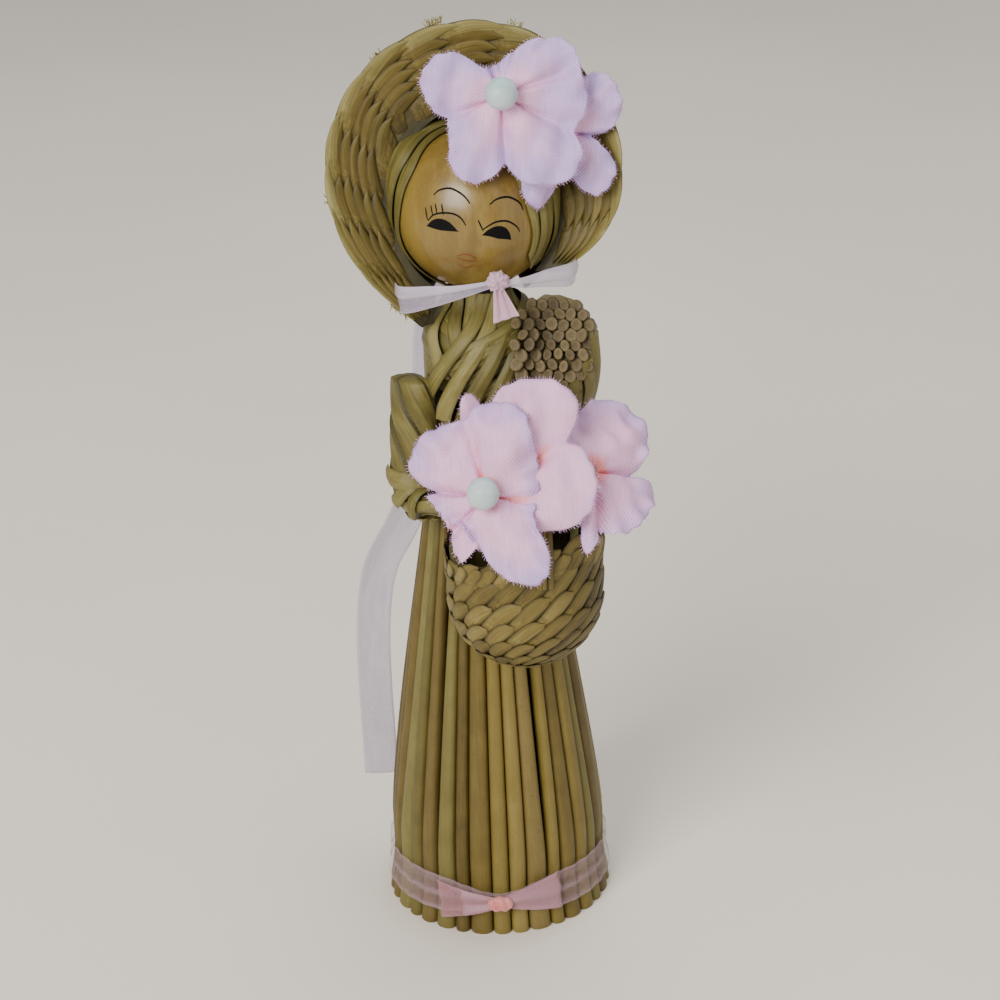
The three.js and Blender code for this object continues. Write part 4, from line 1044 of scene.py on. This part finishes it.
# the brim runs from the crown's rim to a larger circle set higher; v is 0 at the inner edge and 1 at the
# outer, and inset is the share by which the inner edge stands back on the left
def brimPoint(degrees, v, lift, inset=0.0):
    spec = bonnet
    u = (degrees + spec["leftEnd"]) / (spec["leftEnd"] + spec["rightEnd"])
    turn = np.radians(degrees)
    past = np.maximum(0, (-degrees - spec["droopFrom"]) / (spec["leftEnd"] - spec["droopFrom"]))
    endShare = np.clip((1 - np.abs(2 * u - 1)) / spec["endShare"], 0, 1)
    reach = mix(inset * bell(degrees, spec["insetAt"], spec["insetReach"]), 1, v)
    reach = np.where(v < 0, v, reach * mix(spec["endTaper"], 1, np.sin(np.pi / 2 * endShare)))
    x = mix(spec["halfWidth"] + 0.3, spec["brimRadius"], reach) * np.sin(turn)
    inner = (spec["halfHeight"] + 0.3) * np.cos(turn) + spec["rise"]
    z = mix(inner, spec["brimRadius"] * np.cos(turn) + spec["brimRise"], reach)
    y = -spec["forward"] - spec["flare"] * np.maximum(reach, 0) ** 1.5 + lift
    return fromHat(points(x, y, z - spec["droop"] * past ** 2 * np.clip(1 + reach / 0.15, 0, 1)))


# strips run round the brim in rows that interlock end to end, on both faces of a thin base that is painted dark
# as painted shade in the gaps between strips
def makeBrim():
    spec, work, rim = bonnet, bonnet["strips"], bonnet["edging"]
    draw = np.random.default_rng(spec["seed"])
    base, strips, edging = Stock(), Stock(), Stock()
    degrees = np.linspace(-spec["leftEnd"], spec["rightEnd"], 140)[:, None]
    v = np.linspace(-0.15, 0.97, 12)
    lift = np.repeat([-0.1, 0.1], len(v))
    grid = brimPoint(degrees, np.append(v, v[::-1]), lift)
    # the base's low tone is painted shade, in the gaps between strips and in the band it fills between brim and
    # hair
    base.tube(grid, np.linspace(0, 1, 25), np.linspace(0, 97, 140), 0.12)
    makePiece("brim_base", base, liningSkin, "head", ["hat_brim"])
    span = np.radians(spec["leftEnd"] + spec["rightEnd"]) * work["middle"]
    near = work["crowd"]

    # strip ends crowd together at the left end and do not run past it
    def bearing(a):
        a = np.where(a < near, near - 3 * np.tanh((near - a) / 3), a)
        return np.degrees(a / work["middle"]) - spec["leftEnd"]

    for sign in (-1, 1):
        stand = lambda rise: sign * (rise + work["stand"])
        place = lambda a, b, rise: brimPoint(bearing(a), b / work["across"], stand(rise), spec["inset"])
        row, column = np.meshgrid(np.arange(int(span / work["pitch"]) + 1), np.arange(6), indexing="ij")
        b = (column + 0.3 + 0.5 * (row % 2)).ravel()
        a = (row.ravel() + 0.5) * work["pitch"] + 0.15 * (b - 2.5) + draw.uniform(-0.4, 0.4, row.size)
        keep = (b < 5.4) & (a < span - 3.0)
        a, b, count = a[keep], b[keep], keep.sum()
        # strips nearer the inner edge are darker: painted shade towards the inside of the bonnet
        tone = 0.34 + 0.06 * b + draw.uniform(-0.18, 0.2, count)
        length = work["length"] * draw.uniform(0.94, 1.06, count)
        tilt = work["tilt"] + draw.uniform(-0.015, 0.015, count)
        layStrips(strips, place, a, b, length, work["half"], tilt, tone, draw.uniform(-0.06, 0.06, count), 2.2)
        # wider, paler strips that fold over the outer edge
        a = np.arange(3.9, span - 4, work["pitch"])
        a = a + draw.uniform(-0.4, 0.4, len(a))
        folded = lambda b: b - np.maximum(b - rim["fold"], 0) * 0.55
        place = lambda a, b, rise: brimPoint(bearing(a), folded(b) / work["across"], stand(rise))
        layStrips(edging, place, a, rim["at"], draw.uniform(*rim["length"], len(a)), rim["half"], rim["tilt"],
                  draw.uniform(0.6, 0.95, len(a)), rim["lift"])
    # frayed fibres at the edge, spread about the middle of their tuft
    middle, count, long = np.array(spec["frays"]).T
    middle, long = (np.repeat(x, count.astype(int)) for x in (middle, long))
    count = len(middle)
    around = middle + draw.normal(0, 1.6, count)
    foot = brimPoint(around, np.ones(count), draw.uniform(-0.6, 0.3, count))
    ahead = brimPoint(around + draw.normal(0, 3, count), np.full(count, 1.2), draw.uniform(-1, 0.6, count))
    long = (long * draw.uniform(0.7, 1.7, count))[:, None, None]
    line = foot[:, None] + unit(ahead - foot)[:, None] * np.array([0, 0.6, 1.0])[:, None] * long
    hairs = spikes(line, np.array([1.0, 0, 0]), np.array([0, 0, 1.0]), spec["frayRadius"], [1, 0.8, 0.2])
    edging.tube(hairs, [0.4, 0.5, 0.6, 0.5], [0, 0.5, 1], draw.uniform(0.7, 1, count))
    makePiece("brim_strips", strips, plaitSkin, "head", ["hat_brim"])
    makePiece("brim_edging", edging, edgeSkin, "head", ["hat_brim"])


# bend of the dome, from 0 at the back pole to a right angle at its widest
def crownBend(depth):
    return np.clip(depth / bonnet["depth"], 0, np.pi / 2)


# the dome in its own coordinates: depth runs in mm from the back pole to the front edge, turn is from the top
def crownPoint(depth, turn, lift):
    spec = bonnet
    beyond = np.maximum(depth - np.pi / 2 * spec["depth"], 0)
    ring = (spec["halfWidth"] + spec["wall"] + lift) * np.sin(crownBend(depth))
    y = (spec["depth"] + spec["wall"] + lift) * np.cos(crownBend(depth)) - beyond
    z = ring * np.cos(turn) * spec["halfHeight"] / spec["halfWidth"] + spec["rise"]
    return points(ring * np.sin(turn), y, z)


# rows of strips wound round the dome, cut away at the nape, over a lining that runs a little lower beside the
# neck
def makeCrown():
    spec, work = bonnet, bonnet["crown"]
    draw = np.random.default_rng(spec["seed"] + 1)
    full = np.pi / 2 * spec["depth"] - spec["front"] - 0.1
    radiusAt = lambda depth: (spec["halfWidth"] + spec["wall"]) * np.sin(crownBend(depth))
    depth = np.linspace(0.3, full, 40)
    limit = (spec["nape"] + 0.4 - spec["rise"]) / (radiusAt(depth) * spec["halfHeight"] / spec["halfWidth"])
    reach = np.arccos(np.clip(limit, -1, 1)) + 0.24 * ease(0.45, 0.85, depth / full)
    shell, strips = Stock(), Stock()
    turn = np.linspace(-1, 1, 81) * reach[:, None]
    lining = fromHat(crownPoint(depth[:, None], turn, -work["lining"]))
    shell.add(lining, np.linspace(0, 20, 81), depth, tone=0.3, flip=True)
    makePiece("crown_shell", shell, liningSkin, "head", ["hat_crown"], cloth=0.5)
    step = full / work["rows"]
    for row in range(work["rows"]):
        middle = (row + 0.5) * step
        radius = radiusAt(middle)
        count = max(3, int(round(twoPi * radius / work["across"])))
        turn = (np.arange(count) + 0.5 * (row % 2) + 0.15 * row) / count * twoPi
        turn = (turn + np.pi) % twoPi - np.pi
        place = lambda a, b, rise: fromHat(crownPoint(b * step, a / radius, rise - work["below"]))
        low = crownPoint(middle, turn, 0.0)[:, 2]
        length = np.minimum(work["length"], 0.9 * twoPi * radius / count * 1.35)
        keep = low > spec["nape"] + 1.1 + 0.3 * length * np.abs(np.sin(turn)) * (low < 0)
        tone = draw.uniform(0.25, 0.85, count)
        if keep.any():
            layStrips(strips, place, (turn * radius)[keep], row + 0.5, length, work["half"], 0.02, tone[keep])
    makePiece("crown_strips", strips, plaitSkin, "head", ["hat_crown"])


makeBrim()
makeCrown()

# basket: a plaited pouch, wider than deep, with a round bottom, in a frame at the middle of its base
basket = dict(origin=(5.7, -23.13, 52.8), halfWidth=12.0, halfDepth=9.2, height=20.6, round=12.4, flat=0.2,
              lean=0.1, outside=-0.45, inside=-1.3, seed=31,
              strips=dict(slope=40, wide=2.3, pitch=6.2, length=8.8, half=0.64, lift=-0.12, atWidth=0.88),
              folds=dict(count=26, below=1.9, length=4.6, half=0.56, lift=0.12))
basket["bottom"] = np.pi / 2 * basket["round"] * (1 - basket["flat"])  # length of the round bottom's curve


# pouch outline: rise in mm along the wall from the bottom edge, turn about the upright axis from the front;
# the front leans, so that its rim is higher on the right
def pouchPoint(rise, turn, lift):
    spec = basket
    bend = np.pi / 2 * mix(spec["flat"], 1, np.clip(rise / spec["bottom"], 0, 1))
    ring = (spec["halfWidth"] + lift) * np.sin(bend) + np.minimum(rise, 0)
    z = spec["round"] - (spec["round"] + lift) * np.cos(bend) + np.maximum(rise - spec["bottom"], 0)
    x, y = ring * np.sin(turn), -ring * np.cos(turn) * spec["halfDepth"] / spec["halfWidth"]
    lean = spec["lean"] * x / spec["halfWidth"] * ease(-0.3, 0.5, np.cos(turn))
    return points(x, y, z * (1 + lean * z / spec["height"])) + spec["origin"]


# broad strips climb the wall at a slant in interlocking rows, over a dark cup; more are folded over the rim
def makeBasket():
    spec, work = basket, basket["strips"]
    draw = np.random.default_rng(spec["seed"])
    cup, strips = Stock(), Stock()
    full = spec["bottom"] + spec["height"] - spec["round"]
    rise = np.concatenate([[-3.7, -2.6, -1.3], np.linspace(0, full, 34)])[:, None]
    turn = np.linspace(0, twoPi, 73)[:-1]
    walls = [pouchPoint(rise, turn, spec["outside"]), pouchPoint(rise[::-1], turn, spec["inside"])]
    cup.tube(np.concatenate(walls), np.linspace(0, 3, 73), np.linspace(0, 60, 74), 0.45)
    makePiece("pouch_cup", cup, liningSkin, "basket", ["basket"])
    # a strip's middle line: a runs along it, b counts strips across it, both laid at the slope on the wall
    slope, radius = np.radians(work["slope"]), spec["halfWidth"] * work["atWidth"]
    climb = lambda a, b: a * np.sin(slope) + b * work["wide"] * np.cos(slope)
    turnAt = lambda a, b: (a * np.cos(slope) - b * work["wide"] * np.sin(slope)) / radius
    along, cross = (grid.ravel() for grid in np.meshgrid(np.arange(-14, 16), np.arange(-24, 30), indexing="ij"))
    a, b = (along + 0.5 * (cross % 2)) * work["pitch"], cross * 1.0
    height, side = climb(a, b), turnAt(a, b) / twoPi
    keep = (height > -2.2) & (height < full - 1.2) & (side >= -0.5) & (side < 0.5)
    a, b, height, side = (value[keep] for value in (a, b, height, side))
    count = len(a)
    a = a + draw.uniform(-0.4, 0.4, count)
    # tone: strips under the pouch are darker, painted shade; strips in an upright band right of the front are
    # darker too
    tone = draw.uniform(0.3, 0.85, count) - 0.15 * (height < 3) - 0.3 * (np.abs(side - 0.16) < 0.08)
    place = lambda a, b, lift: pouchPoint(climb(a, b), turnAt(a, b), lift)
    layStrips(strips, place, a, b, work["length"] * draw.uniform(0.94, 1.06, count), work["half"],
              draw.uniform(-0.02, 0.02, count), tone, work["lift"] + draw.uniform(-0.06, 0.06, count), 8)
    # upright folds over the rim
    work, count = spec["folds"], spec["folds"]["count"]
    b = np.arange(count) + draw.uniform(-0.2, 0.2, count)
    place = lambda a, b, lift: pouchPoint(full + a, (b + 0.12 * a) / count * twoPi, lift)
    layStrips(strips, place, np.full(count, -work["below"]), b, work["length"] * draw.uniform(0.9, 1.1, count),
              work["half"], draw.uniform(-0.02, 0.02, count), draw.uniform(0.35, 0.95, count), work["lift"], 5)
    makePiece("pouch_strips", strips, plaitSkin, "basket", ["basket"])


makeBasket()

# strap handle: up inside the back wall, over the left forearm and down outside the front wall; its strips
# have their place to the side and half width
handle = dict(x=8.6, path=[(-16.555, 67.4), (-16.555, 73.4), (-17.39, 79.07), (-21.8, 81.5), (-31.09, 79.07),
                           (-32.857, 73.4), (-32.857, 69.8)],
              strips=[(-0.86, 0.5), (0.0, 0.48), (0.86, 0.5)], thick=0.42, crown=0.08, rows=80, seed=41)


# three leaf strips side by side along one curve, each a lens in section with a slow roll
def makeHandle():
    spec = handle
    draw = np.random.default_rng(spec["seed"])
    path = curveThrough([(spec["x"], y, z) for y, z in spec["path"]], spec["rows"])
    side = np.broadcast_to(np.array([1.0, 0, 0]), path.shape)
    out = np.cross(unit(np.gradient(path, axis=0)), side)
    run = runAlong(path)
    stock = Stock()
    for aside, half in spec["strips"]:
        phase = draw.uniform(0, twoPi)
        sway, wave = aside + 0.08 * np.sin(run / 3.7 + phase), 0.12 * np.sin(run / 2.6 + phase)
        middle = path + side * sway[:, None] + out * wave[:, None]
        grid, across = lensStrip(middle, side, out, np.full(len(path), half), spec["thick"], spec["crown"])
        stock.tube(grid, across, run, draw.uniform(0.4, 0.8))
    makePiece("strap_strips", stock, plaitSkin, "basket", ["basket_handle"])


makeHandle()

# ribbon under the chin: points of its middle line with half its width there, from the outside of each end of
# the brim to the knot; laps are where the upper part lies over the lower
chin = dict(left=[(-12.6, -5.8, 108.1, 2.1), (-11.6, -9.2, 108.5, 2.2), (-7.3, -11.7, 109.7, 1.75),
                  (-2.7, -13.4, 110.9, 1.1), (3, -14.3, 112.4, 0.5)],
            right=[(15.2, -5.4, 111.4, 1.9), (14.2, -8.8, 111.6, 1.9), (10.3, -11.6, 112.0, 1.4),
                   (6.4, -13.7, 112.1, 0.8), (3, -14.3, 112.4, 0.5)],
            rows=60, cols=17, laps=dict(left=0.1, right=-0.3), thick=0.08, knotAt=(3.1, -14.8, 112.8),
            knot=(1.6, 1.15, 1.5),
            tail=dict(length=5.2, aside=1.1, top=1.3, end=4.0, folds=0.28, rows=24, cols=25))


# on each side one band narrows to the knot, its upper part lapped over the lower; the knot is a puckered ball
# and its tail a fan of folds
def makeChinRibbon():
    spec = chin
    band, knot = Stock(), Stock()
    b = np.linspace(-1, 1, spec["cols"])
    for key, split in spec["laps"].items():
        line = curveThrough(spec[key], spec["rows"])
        path, half = line[:, :3], line[:, 3:]
        tangent = unit(np.gradient(path, axis=0))
        upward = unit(np.array([0, 0, 1.0]) - tangent * tangent[:, 2:])
        out = np.cross(tangent, upward) * (1 if key == "left" else -1)
        lap = ease(split - 0.08, split + 0.08, b)
        fold = (0.3 * lap + 0.1 * np.sin(3.3 * b + 1)) * np.minimum(half / 1.2, 1)
        tone = np.clip(0.15 + 0.6 * lap + 0.4 * np.abs(b) ** 10, 0, 1)
        band.add(besidePath(path, upward, out, half * b, fold), b * 2, runAlong(path), tone=tone[None, None],
                 flip=key == "right")
    makePiece("ribbon_chin", band, paleVeil, "head", ["chin_ribbon"], cloth=spec["thick"])
    middle = np.array(spec["knotAt"])
    wide, deep, tall = spec["knot"]
    c, a = ballAngles(0.05, 23, 60)
    pucker = 1 + 0.13 * np.sin(7 * a + 3 * c) * np.sin(c) + 0.07 * np.sin(13 * a - 5 * c)
    ball = points(wide * np.sin(c) * np.cos(a), -deep * np.cos(c), tall * np.sin(c) * np.sin(a))
    knot.tube(middle + ball * pucker[..., None], np.linspace(0, 9, 61), np.linspace(0, 4, 23), 0.55)
    tail = spec["tail"]
    v, w = np.linspace(0, 1, tail["rows"])[:, None], np.linspace(-1, 1, tail["cols"])
    x = middle[0] + tail["aside"] * v + mix(tail["top"], tail["end"], v) / 2 * w
    y = middle[1] - 0.4 - 0.5 * v - tail["folds"] * np.sin(2.5 * np.pi * w + 0.6) * (1 - 0.5 * v)
    z = middle[2] - 0.6 - tail["length"] * v + 0.6 * v * w
    knot.add(points(x, y, z), w * 1.9, v[:, 0] * tail["length"], tone=(0.4 + 0.5 * np.abs(w) ** 8)[None, None])
    makePiece("knot_chin", knot, knotVeil, "head", ["chin_ribbon"], cloth=spec["thick"])


makeChinRibbon()

# silk blossoms: each layer is one cut sheet round a stem hole; its outline is given as direction in degrees
# seen from the face and reach in mm, its swells and the curls of its rim as direction, spread in degrees and
# height in mm
blossoms = dict(
    hat_front=dict(
        body="head", node="hat_blossom_front", place=(4.4, -12.9, 19), facing=(0.05, -1, 0.16), cup=0.5,
        seed=51, hueAndShade=0.5,
        outline=[(5, 13.3), (20, 12.9), (32, 13), (43, 12.7), (50, 11.1), (62, 9.4), (72, 6.9), (92, 4.7),
                 (110, 4.3), (126, 5), (135, 8.7), (149, 11.3), (168, 12.5), (183, 11.2), (195, 10.1),
                 (204, 8.4), (221, 9.9), (236, 13), (247, 13.9), (257, 13.4), (266, 11.9), (276, 9.8),
                 (283, 12.9), (295, 14.8), (306, 16.2), (314, 16.2), (327, 15.1), (334, 12.6), (346, 12.9)],
        swells=[(18, 20, 0.9), (42, 12, 0.5), (308, 18, 0.8), (248, 14, 0.5), (165, 18, 0.5)],
        curls=[(12, 9, 1.3), (335, 8, 1.1), (300, 7, 0.7), (165, 9, 0.5)]),
    hat_rear=dict(
        body="head", node="hat_blossom_rear", place=(14, -9.6, 13), facing=(0.1, -1, 0), cup=0.3,
        seed=52, hueAndShade=0.5, hole=0.12,
        outline=[(3, 6.2), (12, 7.6), (21, 8.7), (33, 9.9), (47, 10.6), (60, 10.4), (71, 9.4), (85, 7.2),
                 (110, 6.5), (140, 5.6), (175, 6.4), (205, 6.2), (221, 7.4), (231, 10.2), (240, 11.5),
                 (253, 12.6), (261, 10.1), (270, 5.4), (283, 7.1), (288, 8.4), (299, 10.9), (311, 11.1),
                 (330, 9.4), (344, 5.6), (353, 3.9)],
        swells=[(45, 20, 0.7), (308, 18, 0.8), (248, 14, 2.2)],
        curls=[(40, 12, 0.7), (310, 10, 0.6)]),
    basket_front=dict(
        body="basket", node="basket_blossom_front", place=(-5.4, -10.4, 12.2), facing=(-0.16, -0.86, 0.5),
        cup=1.6, seed=53, hueAndShade=0.3,
        outline=[(0, 7.8), (18, 8.4), (34, 9.6), (48, 12.4), (55, 13.8), (66, 14.3), (78, 14.3), (90, 13.8),
                 (98, 12.8), (108, 13), (118, 13.2), (130, 13.7), (144, 13.4), (154, 12.7), (161, 10.4),
                 (166, 7.2), (172, 9.4), (180, 8.6), (195, 7.2), (215, 6.6), (235, 7), (254, 7.4),
                 (263, 9.7), (273, 12), (282, 13.8), (292, 15.3), (300, 15.2), (307, 14), (313, 12),
                 (321, 9.4), (333, 7.6), (346, 7.4)],
        swells=[(62, 30, 2.6), (136, 22, 0.8), (288, 18, 1.0), (190, 20, 0.5)],
        curls=[(104, 12, 2.0), (50, 10, 1.4), (178, 9, 1.0), (225, 16, 2.0), (320, 14, 1.6)]),
    basket_under=dict(
        body="basket", node="basket_blossom_front", place=(-5.15, -9.1, 11.4), facing=(-0.1, -0.86, 0.5),
        cup=1.4, seed=55, hueAndShade=0.12, shadeFade=2.0,
        outline=[(5, 16.8), (22, 16.2), (28, 15), (32, 14.2), (36, 18), (42, 20.4), (50, 20.6), (59, 19.9),
                 (68, 18.8), (78, 17.2), (83, 14.4), (88, 12.6), (92, 15.2), (96, 16.6), (100, 15.8),
                 (104, 12.8), (112, 9), (140, 8), (190, 7.6), (215, 7.4), (227, 9), (241, 10.6), (249, 8.2),
                 (262, 6.6), (290, 7), (312, 7.6), (324, 9.4), (331, 12.2), (340, 14.6), (350, 16)],
        swells=[(4, 22, 1.5), (58, 16, 1.1), (97, 6, 0.4)],
        curls=[(14, 12, 0.9), (44, 7, 1.2), (346, 10, 0.6)]),
    basket_side=dict(
        body="basket", node="basket_blossom_side", place=(10.3, -2.6, 12.1), facing=(0.36, -0.6, 0.7),
        cup=1.4, seed=54, hueAndShade=0.26,
        outline=[(6, 10.8), (13, 9), (19, 7.2), (27, 9.8), (38, 12.2), (54, 14), (70, 14.6), (86, 14.2),
                 (96, 12.4), (106, 9.8), (118, 8.2), (160, 8.2), (190, 8), (220, 8), (250, 7.6), (266, 7.9),
                 (272, 11.6), (277, 12.8), (284, 11), (290, 8.2), (299, 9.6), (313, 10.6), (330, 11),
                 (346, 11.4), (357, 11.2)],
        swells=[(60, 24, 1.3), (336, 20, 1.0), (278, 6, 0.3), (150, 20, 0.4)],
        curls=[(36, 9, 1.1), (76, 10, 0.8), (340, 12, 0.9)]))
petalForm = dict(hole=0.9, rows=30, columns=216, crease=1.15, creaseSpread=6.5, ripples=7, ripple=0.23,
                 ruffle=0.42, thick=0.14, threadStep=0.42, threadRadius=0.055)


# turns a blossom's own frame, whose z is the way it faces, into the doll's
def bloomPlace(spec, p):
    f = unit(np.array(spec["facing"], float))
    axis = np.cross([0, 0, 1.0], f)
    k = np.array([[0, -axis[2], axis[1]], [axis[2], 0, -axis[0]], [-axis[1], axis[0], 0]])
    turn = np.eye(3) + k + k @ k / (1 + f[2])
    moved = p @ turn.T + np.array(spec["place"], float)
    if spec["body"] == "head":
        return fromHat(moved)
    return moved + basket["origin"] + [0, 0, basket["height"]]


# polar sheet: v runs from the stem hole to the edge and u once round; swells push the cloth forward between
# the notches of the outline, creases draw it back along them, curls turn the rim up, and it is rippled and
# ruffled
def makeBlossom(name, spec):
    form = petalForm
    draw = np.random.default_rng(spec["seed"])
    degrees = np.arange(form["columns"]) * 360 / form["columns"]
    angle = np.radians(degrees)
    near = lambda middle, spread: bell((degrees - middle + 180) % 360 - 180, 0, spread)
    marks = np.array(sorted((d % 360, r) for d, r in spec["outline"]), float)
    edge = np.interp(degrees, *marks.T, period=360)
    edge = np.convolve(np.concatenate([edge[-1:], edge, edge[:1]]), [0.25, 0.5, 0.25], "valid")
    edge = edge + 0.1 * np.sin(angle * 31 + 2) + 0.07 * np.sin(angle * 47)
    before, after = np.roll(marks[:, 1], 1), np.roll(marks[:, 1], -1)
    notches = marks[(marks[:, 1] < before) & (marks[:, 1] < after), 0]
    furrow = np.max([near(middle, form["creaseSpread"]) for middle in notches], axis=0)
    v = (np.linspace(0, 1, form["rows"]) ** 0.9)[:, None]
    radius = mix(spec.get("hole", form["hole"]), edge, v)
    height = 0.25 - spec["cup"] * v ** 2 - form["crease"] * furrow * np.sin(np.pi * v ** 0.6 * 0.8)
    for middle, spread, amount in spec["curls"]:
        curl = amount * near(middle, spread) * ease(0.62, 1, v) ** 2
        height, radius = height + curl, radius - 0.45 * curl
    for middle, spread, rise in spec["swells"]:
        height = height + rise * near(middle, spread) * np.sin(np.pi * np.minimum(v ** 0.85 * 0.86, 1))
    waves = np.zeros_like(radius)
    for _ in range(form["ripples"]):
        way, pitch, phase = draw.uniform(0, twoPi), draw.uniform(3.2, 8), draw.uniform(0, twoPi)
        waves = waves + np.sin(np.cos(angle - way) * radius / pitch * twoPi + phase) * pitch / 8
    height = height + form["ripple"] * waves * np.minimum(v * 2, 1)
    height = height + form["ruffle"] * v ** 4 * np.sin(angle * 17 + draw.uniform(0, 6))
    grid = points(radius * np.cos(angle), radius * np.sin(angle), height)
    flat = grid[..., :2]
    # tone: salmon at the stem hole running out to pale at the rim, shifted for each blossom partly by its hue
    # and partly as painted shade for layers that lie in shade; the under layer is kept lower further out,
    # painted shade beneath the front layer, and every layer is lowered in the creases, painted shade
    tone = spec["hueAndShade"] + 0.6 * v ** spec.get("shadeFade", 1) - 0.3 * bell(v, 0, 0.22)
    tone = np.clip(tone - (0.6 - spec["hueAndShade"]) * furrow * (1 - v ** 2), 0, 1)
    stock, fringe = Stock(), Stock()
    stock.add(bloomPlace(spec, grid).transpose(1, 0, 2), np.zeros(form["rows"]), np.zeros(form["columns"] + 1),
              loop=True, tone=tone.T[None])
    stock.regrain(flat.transpose(1, 0, 2))
    cloth = makePiece("petals_" + name, stock, silkSkin, spec["body"], [spec["node"]], cloth=form["thick"])
    # loose threads along the cut edge, evenly spaced like the teeth of a comb
    rim, following = grid[-1], np.roll(grid[-1], -1, 0)
    run = runAlong(np.vstack([rim, rim[:1]]))
    threads = int(run[-1] / form["threadStep"])
    at = (np.arange(threads) + draw.uniform(-0.3, 0.3, threads)) / threads * run[-1] % run[-1]
    pick = np.clip(np.searchsorted(run, at) - 1, 0, form["columns"] - 1)
    share = (at - run[pick]) / np.maximum(run[pick + 1] - run[pick], 1e-6)
    foot = mix(rim[pick], following[pick], share[:, None])
    along = following[pick] - rim[pick]
    outward = points(along[:, 1], -along[:, 0], 0)
    fromInner = foot - grid[-2][pick]
    outward = outward * np.sign(np.sum(outward * fromInner, -1, keepdims=True))
    way = unit(unit(outward) + 0.6 * unit(fromInner) + draw.normal(0, 0.13, (threads, 3)))
    long = draw.uniform(0.16, 0.6, threads)[:, None, None]
    line = foot[:, None] + way[:, None] * np.array([-0.5, 0.5, 1.0])[:, None] * long
    up = np.array([0, 0, 1.0])
    hairs = spikes(line, unit(np.cross(way, up))[:, None, None], up, form["threadRadius"], [1, 0.8, 0.35])
    fringe.tube(bloomPlace(spec, hairs), [0, 0.1, 0.2, 0.3], [0, 0.5, 1], draw.uniform(0.7, 1, threads))
    loose = makePiece("fringe_" + name, fringe, silkSkin, spec["body"])


for bloomName, bloomSpec in blossoms.items():
    makeBlossom(bloomName, bloomSpec)

# pips and flower stems: points of a stem in its blossom's frame, the pip at its top
pips = dict(radius=2.45, lift=3.25, stem=0.6, sides=12, rows=40)
stalks = dict(hat=[(0, 0, 2.9), (0, 0, 0), (0, 0, -9.1)],
              basket=[(0, 0, 2.9), (0, 0, 0), (0, 0, -3), (-1.65, -6.36, -9.08), (-2.92, -13.19, -13.05)],
              side=[(0, 0, 1.1), (0, 0, -3), (0.96, -7.8, -7.1), (3.87, -12.65, -12.76)])


# a ball with a faintly uneven skin
def makePip(name, spec, node):
    c, a = ballAngles(0.03, 33, 48)
    uneven = 1 + 0.012 * np.sin(5 * a + 3 * np.cos(4 * c)) * np.sin(c)
    ball = points(np.sin(c) * np.cos(a), np.sin(c) * np.sin(a), -np.cos(c)) * uneven[..., None] * pips["radius"]
    stock = Stock()
    stock.tube(bloomPlace(spec, ball + [0, 0, pips["lift"]]), np.linspace(0, 1, 49), np.linspace(0, 1, 33))
    makePiece("pip_" + name, stock, pipSkin, spec["body"], [node])


# a round stem along a smooth curve
def makeStalk(name, spec, node):
    path = curveThrough(bloomPlace(spec, np.array(stalks[name], float)), pips["rows"])
    side, out = alongPath(path, np.array([1.0, 0.2, 0.1]))
    a = np.arange(pips["sides"]) / pips["sides"] * twoPi
    grid = besidePath(path, side, out, pips["stem"] * np.cos(a), pips["stem"] * np.sin(a))
    stock = Stock()
    stock.tube(grid, np.linspace(0, 1, pips["sides"] + 1), runAlong(path))
    makePiece("stalk_" + name, stock, stalkSkin, spec["body"], [node])


for pipName in ("hat", "basket"):
    makePip(pipName, blossoms[pipName + "_front"], pipName + "_pip")
    makeStalk(pipName, blossoms[pipName + "_front"], pipName + "_pip")
makeStalk("side", blossoms["basket_side"], "basket_side_stem")
